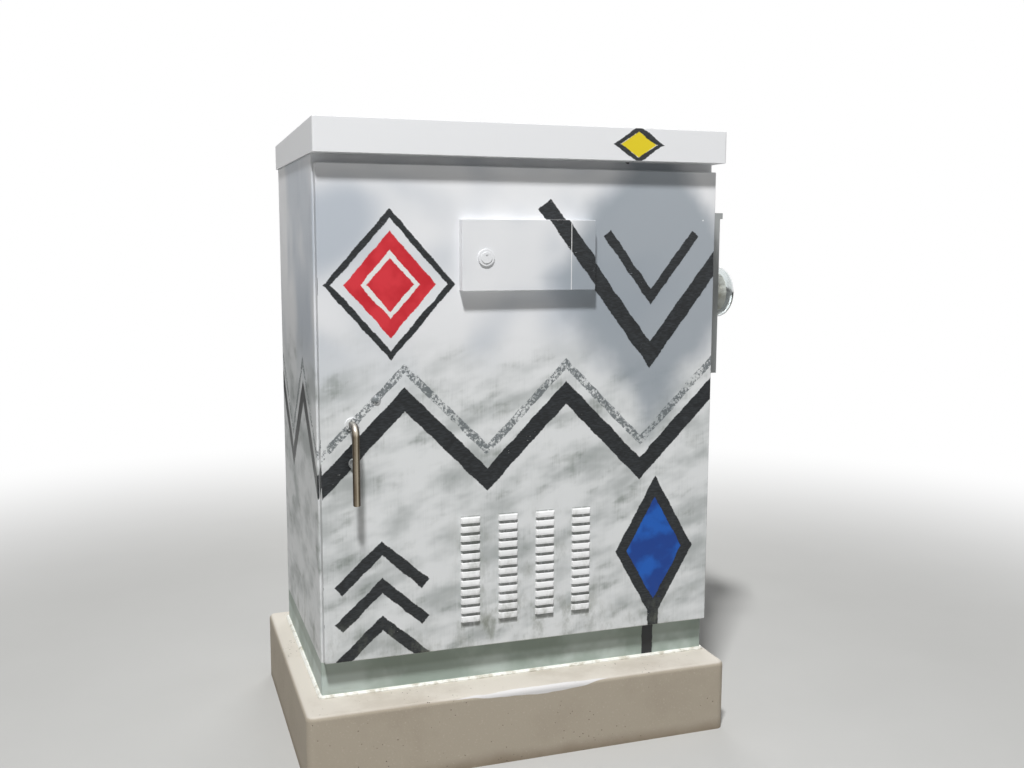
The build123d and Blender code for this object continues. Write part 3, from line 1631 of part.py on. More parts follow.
# Fan rotor: hub, shaft and seven twisted blades
rotor_bottom = fan_bottom + fan_motor_height + flat_clearance
rotor_middle = rotor_bottom + fan_hub_height / 2
blade_tip = fan_bore_radius - fan_blade_tip_gap
with BuildPart() as fan_blade:
    for radius, pitch in (
        (fan_hub_radius * 0.8, fan_blade_root_pitch),
        (blade_tip - fan_blade_thickness / 2, fan_blade_tip_pitch),
    ):
        with BuildSketch(Plane(origin=(radius, 0, 0), x_dir=(0, 1, 0), z_dir=(1, 0, 0))):
            RectangleRounded(fan_blade_chord, fan_blade_thickness, fan_blade_thickness / 2.2, rotation=pitch)
    loft()

with BuildPart() as fan_rotor:
    round_bar(Plane.XY.offset(rotor_bottom), (fan_x, 0), fan_hub_radius, fan_hub_height)
    fillet(edges().group_by(Axis.Z)[-1], fan_hub_height / 6)
    with Locations((fan_x, 0, rotor_middle)):
        with PolarLocations(0, fan_blades):
            add(fan_blade.part)
    round_bar(
        Plane.XY.offset(fan_bottom), (fan_x, 0), fan_shaft_radius, fan_motor_height + flat_clearance
    )
fan_rotor.part.label = "fan_rotor"
export_step(fan_rotor.part, "parts/fan_rotor.step")

# Finger guard under the fan plate: rings on two cross bars
guard_radius = fan_bore_radius + 2 * guard_wire
with BuildPart() as fan_guard:
    with BuildSketch(Plane.XY.offset(fan_plate_z - guard_wire)):
        with Locations((fan_x, 0)):
            for i in range(guard_rings):
                Circle(guard_radius + guard_wire - i * guard_ring_pitch)
                Circle(guard_radius - guard_wire - i * guard_ring_pitch, mode=Mode.SUBTRACT)
            Rectangle(2 * guard_radius, guard_wire)
            Rectangle(guard_wire, 2 * guard_radius)
    extrude(amount=guard_wire)
fan_guard.part.label = "fan_guard"
export_step(fan_guard.part, "parts/fan_guard.step")

# Meter box on the hinge-side wall: a pan that its cover closes
box_half = meter_box_width / 2 - meter_cover_sheet - meter_cover_gap
box_low = meter_low + meter_cover_sheet + meter_cover_gap
box_high = meter_high - meter_cover_sheet - meter_cover_gap
with BuildPart() as meter_box:
    block(
        (side, meter_face - meter_cover_sheet),
        (meter_box_y - box_half, meter_box_y + box_half),
        (box_low, box_high),
    )
    block(
        (side + meter_box_sheet, meter_face),
        (meter_box_y - box_half + meter_box_sheet, meter_box_y + box_half - meter_box_sheet),
        (box_low + meter_box_sheet, box_high - meter_box_sheet),
        mode=Mode.SUBTRACT,
    )
meter_box.part.label = "meter_box"
export_step(meter_box.part, "parts/meter_box.step")

with BuildPart() as meter_cover:
    block(
        (meter_face - meter_cover_overlap, meter_face),
        (meter_box_y - meter_box_width / 2, meter_box_y + meter_box_width / 2),
        (meter_low, meter_high),
    )
    fillet(faces().sort_by(Axis.X)[-1].edges(), meter_cover_sheet)
    block(
        (meter_face - meter_cover_overlap, meter_face - meter_cover_sheet),
        (
            meter_box_y - meter_box_width / 2 + meter_cover_sheet,
            meter_box_y + meter_box_width / 2 - meter_cover_sheet,
        ),
        (meter_low + meter_cover_sheet, meter_high - meter_cover_sheet),
        mode=Mode.SUBTRACT,
    )
    # Rain hood along the cover's top edge
    block(
        (meter_face - meter_cover_overlap, meter_face + meter_hood_projection),
        (meter_box_y - meter_box_width / 2, meter_box_y + meter_box_width / 2),
        (meter_high - meter_cover_sheet, meter_high + meter_hood_height),
    )
    round_bar(
        side_plane(meter_face - meter_cover_sheet),
        (meter_box_y, meter_z),
        meter_hole_radius,
        meter_cover_sheet,
        Mode.SUBTRACT,
    )
meter_cover.part.label = "meter_cover"
export_step(meter_cover.part, "parts/meter_cover.step")

# Sealing ring that clamps the meter's glass
flange_start = meter_face + meter_disc_thickness
ring_inner = meter_disc_radius + flat_clearance
with BuildPart() as meter_ring:
    with BuildSketch(Plane.XZ.offset(-meter_box_y)):
        with BuildLine():
            Polyline(
                (meter_face, meter_z + ring_inner),
                (meter_face, meter_z + ring_inner + meter_ring_wall),
                (meter_face + meter_ring_depth * 0.75, meter_z + ring_inner + meter_ring_wall),
                (meter_face + meter_ring_depth, meter_z + ring_inner + meter_ring_wall * 0.4),
                (meter_face + meter_ring_depth, meter_z + meter_glass_radius + flat_clearance),
                (flange_start + meter_glass_flange, meter_z + meter_glass_radius + flat_clearance),
                (flange_start + meter_glass_flange, meter_z + ring_inner),
                close=True,
            )
        make_face()
    revolve(axis=Axis((0, meter_box_y, meter_z), (1, 0, 0)))
meter_ring.part.label = "meter_ring"
export_step(meter_ring.part, "parts/meter_ring.step")

# Meter glass: a domed cup with a clamped flange
glass_end = meter_face + meter_glass_length
with BuildPart() as meter_glass:
    with BuildSketch(Plane.XZ.offset(-meter_box_y)):
        with BuildLine():
            Polyline(
                (flange_start, meter_z + meter_glass_radius - meter_glass_wall),
                (flange_start, meter_z + meter_disc_radius),
                (flange_start + meter_glass_flange, meter_z + meter_disc_radius),
                (flange_start + meter_glass_flange, meter_z + meter_glass_radius),
                (glass_end - meter_glass_dome, meter_z + meter_glass_radius),
            )
            EllipticalCenterArc(
                (glass_end - meter_glass_dome, meter_z), meter_glass_dome, meter_glass_radius, arc_size=90
            )
            Line((glass_end, meter_z), (glass_end - meter_glass_wall, meter_z))
            inner = EllipticalCenterArc(
                (glass_end - meter_glass_dome, meter_z),
                meter_glass_dome - meter_glass_wall,
                meter_glass_radius - meter_glass_wall,
                arc_size=90,
            )
            Line(inner @ 1, (flange_start, meter_z + meter_glass_radius - meter_glass_wall))
        make_face()
    revolve(axis=Axis((0, meter_box_y, meter_z), (1, 0, 0)))
meter_glass.part.label = "meter_glass"
export_step(meter_glass.part, "parts/meter_glass.step")

# Meter register: base disc, drum and four small dials
with BuildPart() as meter_register:
    round_bar(side_plane(meter_face), (meter_box_y, meter_z), meter_disc_radius, meter_disc_thickness)
    round_bar(
        side_plane(flange_start), (meter_box_y, meter_z), meter_register_radius, meter_register_length
    )
    with BuildSketch(side_plane(flange_start + meter_register_length)):
        with Locations((meter_box_y, meter_z + meter_register_radius * 0.35)):
            with GridLocations(2.6 * meter_dial_radius, meter_dial_radius, meter_dials, 1):
                Circle(meter_dial_radius)
    extrude(amount=meter_dial_rise)
meter_register.part.label = "meter_register"
export_step(meter_register.part, "parts/meter_register.step")
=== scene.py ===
import json
from math import hypot, pi, radians

import bmesh
import bpy
from mathutils import Matrix, Vector


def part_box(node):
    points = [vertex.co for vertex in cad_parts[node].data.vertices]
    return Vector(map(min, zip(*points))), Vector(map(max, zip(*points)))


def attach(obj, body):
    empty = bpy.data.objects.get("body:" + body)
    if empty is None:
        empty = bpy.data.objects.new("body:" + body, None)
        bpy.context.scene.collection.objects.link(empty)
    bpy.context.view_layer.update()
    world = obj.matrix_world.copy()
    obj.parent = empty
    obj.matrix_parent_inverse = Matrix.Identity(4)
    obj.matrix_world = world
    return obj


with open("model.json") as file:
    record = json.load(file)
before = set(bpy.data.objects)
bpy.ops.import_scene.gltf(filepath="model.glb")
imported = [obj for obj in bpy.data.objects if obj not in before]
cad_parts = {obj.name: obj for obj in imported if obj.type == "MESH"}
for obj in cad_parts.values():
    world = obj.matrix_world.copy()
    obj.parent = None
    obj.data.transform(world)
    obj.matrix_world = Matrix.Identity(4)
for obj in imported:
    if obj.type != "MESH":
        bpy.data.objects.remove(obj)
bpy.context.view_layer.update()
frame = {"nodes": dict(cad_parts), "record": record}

# Camera: its place in metres, its turn in degrees and its lens in millimetres
CAMERA_PLACE = (-0.9689, -3.0616, 1.3921)
CAMERA_TURN = (82.544, -0.155, -18.913)
LENS = 38.01

# Studio: the sky's strength, and where the floor starts and ends its fade to white, in metres
SKY_STRENGTH = 0.06
FLOOR_NEAR = 1.6
FLOOR_FAR = 4.5
FLOOR_SIZE = 30.0
WHITE = (1.0, 1.0, 1.0, 1.0)

# Cabinet, in metres
SIDE = 0.559
FRONT = -0.330
DOOR_FACE = -0.363
PLINTH_TOP = 0.200
RISER_TOP = 0.297
DOOR_BOTTOM = 0.304
DOOR_TOP = 1.586
DOOR_REACH = 0.554
HOOD_BOTTOM = 1.609
LOUVRE_MIDDLE = 0.5215
LOUVRE_PITCH = 0.1065
LOUVRE_WIDTH = 0.055
LOUVRE_REACH_X = 0.195
LOUVRE_REACH_Z = 0.155
SMALL_DOOR_SEAM = 0.113
HANDLE_TOP = 0.945
PLINTH_FRONT = -0.445

# Painted pattern, in metres. A lozenge's numbers are how far along the walls and how far up its
# middle is, its half width and its half height. A chevron's place is that of its tip.
ZIGZAG_BASE = 0.765
ZIGZAG_LIFT = 0.080
ZIGZAG_HALF_PITCH = 0.2236
ZIGZAG_HEIGHT = 0.225
BLUE_LOZENGE = (0.385, 0.530, 0.105, 0.185)
RED_LOZENGE = (-0.370, 1.285, 0.120, 0.135)
YELLOW_LOZENGE = (0.300, 1.651, 0.052, 0.034)
SPRAYED_LOZENGE = (0.360, 1.300, 0.300, 0.420)
PAINT_CHIP = (0.516, 1.454, 0.0022, 0.0026)
LARGE_VEE = (0.360, 1.085)
SMALL_VEE = (0.360, 1.245)
VEE_SLOPE = 1.3
CHEVRON_X = -0.400
CHEVRON_TIPS = (0.400, 0.500, 0.600)
CHEVRON_SLOPE = -0.9
STEM_TOP = 0.353
STEM_WIDTH = 0.034
BRUSH_EDGE = 0.0012

# Equipment, in metres
KEY_RISE = 0.0025
SCREEN_WIDTH = 0.150
CARD_PITCH = 0.038
SWITCH_PITCH = 0.064
SWITCH_HANDLE = 0.012
STRIP_PITCH = 0.205
STRIP_STEP = 0.015
STRIP_DECK = 0.012
METER_HOOD = 0.008
DIAL_PITCH = 0.0234
SWITCH_PLATE_FACE = -0.3018

# Turns for small parts, which are made facing forward
FORWARD = Matrix.Identity(4)
TO_THE_RIGHT = Matrix.Rotation(radians(90), 4, "Z")
TO_THE_LEFT = Matrix.Rotation(radians(-90), 4, "Z")


def colour(red, green, blue):
    """A screen colour from 0 to 255 as the linear colour that a shader takes."""
    shares = [value / 255 for value in (red, green, blue)]
    linear = [((share + 0.055) / 1.055) ** 2.4 if share > 0.04 else share / 12.92 for share in shares]
    return (*linear, 1.0)


class Socket:
    """A shader socket. Arithmetic on it adds Math nodes to its material."""

    def __init__(self, shader, link):
        self.shader = shader
        self.link = link

    def __add__(self, other):
        return self.shader.math("ADD", self, other)

    def __radd__(self, other):
        return self.shader.math("ADD", other, self)

    def __sub__(self, other):
        return self.shader.math("SUBTRACT", self, other)

    def __rsub__(self, other):
        return self.shader.math("SUBTRACT", other, self)

    def __mul__(self, other):
        return self.shader.math("MULTIPLY", self, other)

    def __rmul__(self, other):
        return self.shader.math("MULTIPLY", other, self)

    def __truediv__(self, other):
        return self.shader.math("DIVIDE", self, other)

    def __abs__(self):
        return self.shader.math("ABSOLUTE", self)


class Shader:
    """The nodes of one material or world."""

    def __init__(self, owner):
        owner.use_nodes = True
        self.owner = owner
        self.tree = owner.node_tree
        self.tree.nodes.clear()
        self.place = self.node("TexCoord", output="Object")
        self.x, self.y, self.z = self.axes(self.place)

    def node(self, kind, settings=None, sockets=None, output=0):
        """Adds a node: its settings, then its sockets' values or links. Returns one of its outputs."""
        node = self.tree.nodes.new("ShaderNode" + kind)
        for name, value in (settings or {}).items():
            setattr(node, name, value)
        for name, value in (sockets or {}).items():
            if isinstance(value, Socket):
                self.tree.links.new(value.link, node.inputs[name])
            else:
                node.inputs[name].default_value = value
        return Socket(self, node.outputs[output])

    def math(self, operation, *values):
        return self.node("Math", {"operation": operation}, dict(enumerate(values)))

    def axes(self, vector):
        """The three numbers of a vector."""
        first = self.node("SeparateXYZ", sockets={0: vector})
        outputs = first.link.node.outputs
        return [Socket(self, outputs[axis]) for axis in range(3)]

    def facing(self):
        """The object's own normal as three numbers."""
        return self.axes(self.node("TexCoord", output="Normal"))

    def rise(self, value, low, high):
        """0 below low and 1 above high, with a soft step between. It falls where low is above high."""
        return self.node(
            "MapRange",
            {"interpolation_type": "SMOOTHSTEP"},
            {"Value": value, "From Min": low, "From Max": high},
        )

    def between(self, value, low, high, softness):
        """1 between two limits, with soft ends."""
        above_low = self.rise(value, low - softness, low + softness)
        return above_low * self.rise(value, high + softness, high - softness)

    def stretched(self, scale):
        """The object's coordinates with a scale for each axis."""
        return self.node("Mapping", sockets={"Vector": self.place, "Scale": scale})

    def noise(self, scale, detail=3.0, roughness=0.5, place=None, distortion=0.0):
        return self.node(
            "TexNoise",
            sockets={
                "Vector": place or self.place,
                "Scale": scale,
                "Detail": detail,
                "Roughness": roughness,
                "Distortion": distortion,
            },
        )

    def mix(self, factor, base, top):
        """The base colour with the top colour over it."""
        return self.node("Mix", {"data_type": "RGBA"}, {0: factor, 6: base, 7: top}, 2)

    def bump(self, height, distance, strength=1.0):
        return self.node("Bump", sockets={"Height": height, "Distance": distance, "Strength": strength})

    def end(self, kind, last):
        """Links the last shader to the material's or world's output."""
        output = self.tree.nodes.new("ShaderNodeOutput" + kind)
        self.tree.links.new(last.link, output.inputs["Surface"])

    def surface(self, **sockets):
        """Ends the material with a Principled shader."""
        named = {name.replace("_", " "): value for name, value in sockets.items()}
        self.end("Material", self.node("BsdfPrincipled", sockets=named))
        return self.owner


def new_material(name):
    return Shader(bpy.data.materials.new(name))


def white_ground(shader, sponged):
    """White house paint, sponged with clouds near the top and smudges lower down where a mask says."""
    high = shader.rise(shader.z, 0.90, 1.15) * sponged
    low = shader.rise(shader.z, 1.20, 0.95) * sponged
    tilted = shader.node("Mapping", sockets={"Vector": shader.place, "Rotation": (0.0, 0.30, 0.0)})
    slanted = shader.node("Mapping", sockets={"Vector": tilted, "Scale": (5.5, 5.5, 12.0)})
    small = shader.node("Mapping", sockets={"Vector": tilted, "Scale": (13.0, 13.0, 25.0)})
    upright = shader.noise(1.0, 3.0, 0.65, shader.stretched((190.0, 190.0, 11.0)))
    level = shader.noise(1.0, 3.0, 0.65, shader.stretched((14.0, 14.0, 190.0)))
    streaks = (upright - 0.5) * 0.36 + (level - 0.5) * 0.08
    clear_patch = shader.between(shader.x, -0.19, 0.05, 0.05) * shader.between(shader.z, 1.25, 1.46, 0.05)
    clouds = shader.rise(shader.noise(2.7, 2.0, 0.45, distortion=0.3), 0.45, 0.68)
    clouds = clouds * (1 - clear_patch * 0.85)
    smudges = shader.rise(shader.noise(1.0, 3.0, 0.5, slanted) + streaks * 0.20, 0.40, 0.70)
    patches = shader.rise(shader.noise(1.0, 3.0, 0.5, small) + streaks * 0.45, 0.52, 0.76)
    paint = shader.mix(clouds * high * 0.80, colour(233, 234, 236), colour(172, 181, 192))
    paint = shader.mix(low * 0.5, paint, colour(219, 222, 221))
    paint = shader.mix(smudges * low * 0.85, paint, colour(164, 169, 168))
    paint = shader.mix(patches * low * (0.16 + smudges * 0.70), paint, colour(112, 120, 112))
    bristle_marks = shader.rise(streaks, 0.02, 0.16) * (0.04 + low * 0.18)
    return shader.mix(bristle_marks, paint, colour(168, 173, 170))


def zigzag(shader, along, base):
    """Distance from a line that climbs and falls over a base height in each half pitch."""
    slope = ZIGZAG_HEIGHT / ZIGZAG_HALF_PITCH
    wave = shader.math("PINGPONG", along + SIDE, ZIGZAG_HALF_PITCH)
    return abs(shader.z - base - wave * slope) / hypot(1, slope)


def lozenge(shader, along, outline):
    """Distance from a lozenge's edge, negative inside it."""
    middle, height, half_width, half_height = outline
    reach = abs(along - middle) / half_width + abs(shader.z - height) / half_height
    return (reach - 1.0) * (half_width * half_height / hypot(half_width, half_height))


def chevron(shader, along, tip, slope, reach):
    """Distance from a V that rises by its slope from its tip, cut square at its reach to each side."""
    aside = abs(along - tip[0])
    lift = shader.z - tip[1]
    stretch = hypot(1, slope)
    leg = abs(lift - aside * slope) / stretch
    past_end = (aside + lift * slope) / stretch - reach * stretch
    return shader.math("MAXIMUM", leg, past_end)


def brushed_band(shader, distance, width, wobble):
    """A hand-painted band round a line, with uneven edges."""
    return shader.rise(distance + wobble, width / 2 + BRUSH_EDGE, width / 2 - BRUSH_EDGE)


def louvre_highlight_and_shade(shader, paint, front):
    """Paler paint on the louvres' proud faces, partly clean paint and partly a painted highlight, and
    painted shade in the gap under each one.
    """
    column = shader.math("PINGPONG", shader.x + LOUVRE_PITCH, LOUVRE_PITCH / 2)
    aside = abs(column - LOUVRE_PITCH / 2)
    in_column = shader.rise(aside, LOUVRE_WIDTH / 2, LOUVRE_WIDTH / 2 - 0.001)
    in_field = shader.rise(abs(shader.x), LOUVRE_REACH_X, LOUVRE_REACH_X - 0.002)
    in_field = in_field * shader.between(
        shader.z, LOUVRE_MIDDLE - LOUVRE_REACH_Z - 0.006, LOUVRE_MIDDLE + LOUVRE_REACH_Z - 0.008, 0.001
    )
    proud = shader.rise(shader.y, DOOR_FACE - 0.0004, DOOR_FACE - 0.0016) * in_field
    recessed = (1 - proud) * in_field * in_column * front
    shade_breakup = shader.noise(1.0, 3.0, 0.6, shader.stretched((90.0, 90.0, 30.0)))
    # The louvres' proud faces: paler clean paint with a painted highlight.
    paint = shader.mix(proud * 0.75, paint, colour(240, 240, 240))
    # Painted shade in the gap under each louvre, broken up by noise.
    return shader.mix(recessed * shader.rise(shade_breakup, 0.25, 0.55) * 0.55, paint, colour(116, 120, 116))


def small_marks(shader, paint, front):
    """The pale seam near the small door's hinge and a chip in the paint by the door's edge."""
    on_small_door = shader.rise(shader.y, DOOR_FACE - 0.024, DOOR_FACE - 0.026) * front
    seam = shader.between(shader.x, SMALL_DOOR_SEAM - 0.0010, SMALL_DOOR_SEAM + 0.0010, 0.0005)
    paint = shader.mix(seam * on_small_door * 0.85, paint, colour(244, 244, 244))
    chip = shader.rise(lozenge(shader, shader.x, PAINT_CHIP), 0.0004, -0.0004) * front
    return shader.mix(chip, paint, colour(244, 244, 244))


def outer_walls(shader):
    """Masks of the closed cabinet's front, of its front and sides, and of its rear, and the way along."""
    across, back = shader.facing()[:2]
    left = shader.rise(across, -0.4, -0.7) * shader.rise(shader.x, 0.008 - SIDE, 0.006 - SIDE)
    right = shader.rise(across, 0.4, 0.7) * shader.rise(shader.x, SIDE - 0.008, SIDE - 0.006)
    behind_door = shader.between(shader.z, DOOR_BOTTOM, DOOR_TOP, 0.001) * shader.rise(
        abs(shader.x), DOOR_REACH + 0.001, DOOR_REACH
    )
    on_frame = shader.rise(shader.y, FRONT + 0.004, FRONT + 0.002) * (1 - behind_door)
    on_door = shader.rise(shader.y, DOOR_FACE + 0.003, DOOR_FACE + 0.002)
    front = shader.rise(back, -0.4, -0.7) * shader.math("MAXIMUM", on_frame, on_door)
    rear = shader.rise(back, 0.4, 0.7) * shader.rise(shader.y, -FRONT - 0.004, -FRONT - 0.002)
    walls = shader.math("MAXIMUM", front, left + right)
    along = shader.x + (right - left) * (shader.y - FRONT)
    return front, walls, rear, along


def sprayed_patch(shader, paint, along, where):
    """A grey patch sprayed with a soft edge."""
    ragged = (shader.noise(7.0, 3.0) - 0.5) * 0.10
    distance = lozenge(shader, along, SPRAYED_LOZENGE) + ragged
    return shader.mix(shader.rise(distance, 0.05, -0.05) * where * 0.9, paint, colour(152, 160, 168))


def filled_lozenges(shader, paint, shapes, wobble, front):
    """Blue, red and yellow paint inside the lozenges, uneven in tone."""
    blue_tone = shader.mix(
        shader.rise(shader.noise(14.0, 3.0), 0.42, 0.62), colour(14, 62, 142), colour(22, 92, 184)
    )
    red_tone = shader.mix(
        shader.rise(shader.noise(11.0, 3.0), 0.4, 0.6), colour(196, 34, 46), colour(214, 52, 62)
    )
    paint = shader.mix(brushed_band(shader, shapes["blue"], 0.0, wobble) * front, paint, blue_tone)
    paint = shader.mix(brushed_band(shader, shapes["red"], 0.0, wobble) * front, paint, red_tone)
    yellow = brushed_band(shader, shapes["yellow"], 0.0, wobble * 0.5) * front
    return shader.mix(yellow, paint, colour(226, 204, 38))


def pale_lines(shader, paint, along, red_shape, wobble, front, walls):
    """A dry grey line above the black zigzag and a white line inside the red lozenge."""
    distance = zigzag(shader, along, ZIGZAG_BASE + ZIGZAG_LIFT)
    dry = shader.rise(shader.noise(150.0, 3.0, 0.7) + shader.noise(24.0) * 0.5, 0.86, 0.70)
    grey = brushed_band(shader, distance, 0.020, wobble) * walls * dry
    paint = shader.mix(grey * 0.9, paint, colour(96, 103, 106))
    white = brushed_band(shader, abs(red_shape + 0.038), 0.012, wobble) * front
    return shader.mix(white, paint, colour(232, 232, 230))


def black_bands(shader, along, shapes, wobble, front, walls, below_hood):
    """Mask of the black bands: each has a distance, a width and the walls that it is painted on."""
    under_hood = front * below_hood
    above_stem = shader.rise(shader.z, STEM_TOP - 0.001, STEM_TOP + 0.001)
    bands = [
        (zigzag(shader, along, ZIGZAG_BASE), 0.044, walls),
        (abs(shapes["blue"] + 0.002), 0.030, front),
        (abs(shapes["red"] - 0.030), 0.016, front),
        (abs(shapes["yellow"] - 0.006), 0.012, front),
        (chevron(shader, along, LARGE_VEE, VEE_SLOPE, 0.30), 0.044, under_hood),
        (chevron(shader, along, SMALL_VEE, VEE_SLOPE, 0.125), 0.026, under_hood),
        (abs(along - BLUE_LOZENGE[0]) + above_stem, STEM_WIDTH, front),
    ]
    for tip in CHEVRON_TIPS:
        bands.append((chevron(shader, along, (CHEVRON_X, tip), CHEVRON_SLOPE, 0.105), 0.030, front))
    black = 0.0
    for distance, width, where in bands:
        black = shader.math("MAXIMUM", black, brushed_band(shader, distance, width, wobble) * where)
    return black


def weather(shader, paint, smudges, front, sponged):
    """Grime low down and round the louvres, and dust on the roof."""
    beside_louvres = shader.between(shader.x, -LOUVRE_REACH_X, LOUVRE_REACH_X, 0.05) * shader.between(
        shader.z, LOUVRE_MIDDLE - LOUVRE_REACH_Z - 0.03, LOUVRE_MIDDLE + LOUVRE_REACH_Z, 0.04
    )
    near_bottom = shader.rise(shader.z, DOOR_BOTTOM + 0.16, DOOR_BOTTOM)
    grime = smudges * (near_bottom * 0.60 + beside_louvres * front * 0.50) * sponged
    paint = shader.mix(grime, paint, colour(124, 128, 116))
    on_roof = shader.rise(shader.z, HOOD_BOTTOM + 0.06, HOOD_BOTTOM + 0.07)
    dust = shader.rise(shader.facing()[2], 0.7, 0.95) * on_roof
    return shader.mix(dust * (0.55 + smudges * 0.16), paint, colour(196, 195, 188))


def cabinet_paint():
    """White paint with a hand-painted pattern of zigzags, chevrons and lozenges on the outside."""
    shader = new_material("cabinet_paint")
    front, walls, rear, along = outer_walls(shader)
    below_hood = shader.rise(shader.z, HOOD_BOTTOM, HOOD_BOTTOM - 0.001)
    sponged = shader.math("MAXIMUM", walls, rear) * below_hood
    wobble = (shader.noise(22.0, 2.0) - 0.5) * 0.010 + (shader.noise(180.0, 2.0) - 0.5) * 0.004
    shapes = {
        "blue": lozenge(shader, along, BLUE_LOZENGE),
        "red": lozenge(shader, along, RED_LOZENGE),
        "yellow": lozenge(shader, along, YELLOW_LOZENGE),
    }
    paint = louvre_highlight_and_shade(shader, white_ground(shader, sponged), front)
    paint = sprayed_patch(shader, paint, along, front * below_hood)
    paint = filled_lozenges(shader, paint, shapes, wobble, front)
    paint = pale_lines(shader, paint, along, shapes["red"], wobble, front, walls)

    bristles = shader.noise(1.0, 2.0, 0.7, shader.stretched((60.0, 60.0, 260.0)))
    starved = shader.rise(bristles, 0.30, 0.24) * shader.rise(shader.noise(5.0), 0.50, 0.60)
    black = black_bands(shader, along, shapes, wobble, front, walls, below_hood) * (1 - starved)
    tar = shader.mix(shader.rise(bristles, 0.35, 0.75), colour(27, 29, 31), colour(50, 54, 57))
    paint = shader.mix(black, paint, tar)
    paint = small_marks(shader, paint, front * below_hood)

    dirt = shader.noise(1.0, 4.0, 0.65, shader.stretched((16.0, 16.0, 9.0)))
    smudges = shader.rise(dirt, 0.46, 0.72)
    paint = weather(shader, paint, smudges, front, sponged)

    leather = shader.noise(420.0, 2.0)
    strokes = shader.noise(1.0, 3.0, 0.6, shader.stretched((30.0, 30.0, 420.0)))
    raised = black * 0.6 + leather * 0.25 + strokes * 0.15
    roughness = 0.42 - black * 0.12 + smudges * 0.10
    relief = shader.bump(raised, 0.0006, 0.6)
    return shader.surface(Base_Color=paint, Roughness=roughness, Normal=relief, Specular_IOR_Level=0.45)


def riser_paint():
    """Pale green-grey paint on the riser, with painted shade under the door's overhang and brushed dirt
    near its foot.
    """
    shader = new_material("riser_paint")
    drift = shader.noise(5.0, 4.0, 0.6)
    brushed = shader.noise(1.0, 3.0, 0.6, shader.stretched((14.0, 14.0, 90.0)))
    paint = shader.mix(shader.rise(drift, 0.42, 0.62), colour(188, 200, 195), colour(156, 170, 162))
    shade_under_door = shader.rise(shader.z, RISER_TOP - 0.045, RISER_TOP - 0.030)
    # Painted shade below the door, which stands out over the riser's top.
    paint = shader.mix(shade_under_door * 0.45, paint, colour(112, 122, 106))
    foot = shader.rise(shader.z + drift * 0.04, PLINTH_TOP + 0.042, PLINTH_TOP + 0.012)
    paint = shader.mix(foot * shader.rise(brushed, 0.42, 0.64) * 0.7, paint, colour(142, 148, 134))
    wobble = (shader.noise(60.0, 2.0) - 0.5) * 0.006
    outer_front = shader.rise(shader.facing()[1], -0.4, -0.7) * shader.rise(shader.y, 0.0, -0.1)
    stem = brushed_band(shader, abs(shader.x - BLUE_LOZENGE[0]), STEM_WIDTH, wobble) * outer_front
    paint = shader.mix(stem, paint, colour(36, 38, 41))
    relief = shader.noise(300.0, 2.0) * 0.5 + brushed * 0.5
    return shader.surface(
        Base_Color=paint, Roughness=0.44 + brushed * 0.12, Normal=shader.bump(relief, 0.0005, 0.5)
    )


def concrete():
    """Cast concrete with a painted highlight on top and painted shade on its sides, with pinholes and a
    streak of spilt paint.
    """
    shader = new_material("concrete")
    top = shader.rise(shader.facing()[2], 0.5, 0.9)
    drift = shader.noise(3.5, 5.0, 0.6)
    grains = shader.noise(160.0, 3.0, 0.7)
    # Painted light: the top is paler as a lit face, and the sides are darker as shaded ones.
    base = shader.mix(top, colour(174, 164, 148), colour(206, 200, 190))
    base = shader.mix(shader.rise(drift, 0.48, 0.70) * 0.40, base, colour(154, 142, 126))
    base = shader.mix(shader.rise(grains, 0.56, 0.76) * 0.25, base, colour(222, 212, 196))
    soil = shader.rise(shader.z + drift * 0.07, 0.075, 0.02)
    base = shader.mix(soil * 0.70, base, colour(112, 96, 76))
    # Pinholes, painted dark: painted shade inside them, with dirt.
    pores = shader.node("TexVoronoi", sockets={"Vector": shader.place, "Scale": 70.0})
    holes = shader.rise(pores, 0.13, 0.08) * shader.rise(shader.noise(12.0), 0.50, 0.60)
    base = shader.mix(holes * 0.85, base, colour(70, 62, 54))
    run = shader.rise(shader.x, -0.27, 0.00) * shader.rise(shader.x, 0.24, 0.06)
    ripple = (shader.noise(11.0, 2.0) - 0.5) * 0.012
    on_top = shader.rise(shader.y + ripple - run * 0.006, PLINTH_FRONT + 0.0055, PLINTH_FRONT + 0.0030)
    over_edge = shader.rise(shader.z + ripple + run * 0.016, PLINTH_TOP - 0.0025, PLINTH_TOP - 0.0010)
    spill = on_top * over_edge * shader.between(shader.x, -0.26, 0.23, 0.02)
    base = shader.mix(spill * 0.85, base, colour(222, 221, 222))
    relief = shader.bump(grains * 0.6 + drift * 0.4 - holes * 2.0, 0.0012, 0.7)
    return shader.surface(Base_Color=base, Roughness=0.86 + grains * 0.08, Normal=relief)


def sealant():
    """White sealant, smeared by hand."""
    shader = new_material("sealant")
    smear = shader.noise(40.0, 3.0, 0.6)
    base = shader.mix(shader.rise(smear, 0.45, 0.70), colour(236, 236, 230), colour(196, 192, 178))
    relief = shader.bump(smear, 0.003, 0.8)
    return shader.surface(Base_Color=base, Roughness=0.6 + smear * 0.1, Normal=relief)


def gasket_rubber():
    """Black foam rubber with fine cells."""
    shader = new_material("gasket_rubber")
    cells = shader.node("TexVoronoi", sockets={"Vector": shader.place, "Scale": 900.0})
    base = shader.mix(shader.noise(30.0), colour(24, 24, 25), colour(44, 44, 44))
    return shader.surface(Base_Color=base, Roughness=0.85, Normal=shader.bump(cells, 0.0004, 0.6))


def brushed_steel(name, light, dark, grain, roughness):
    """Steel with a drawn grain, fine scratches and a dull film in places."""
    shader = new_material(name)
    lines = shader.noise(1.0, 3.0, 0.6, shader.stretched(grain))
    film = shader.noise(18.0, 4.0, 0.6)
    base = shader.mix(shader.rise(film, 0.40, 0.70) * 0.7, light, dark)
    rough = roughness + lines * 0.16 + shader.rise(film, 0.5, 0.75) * 0.14
    relief = shader.bump(lines, 0.0002, 0.35)
    return shader.surface(Base_Color=base, Metallic=1.0, Roughness=rough, Normal=relief)


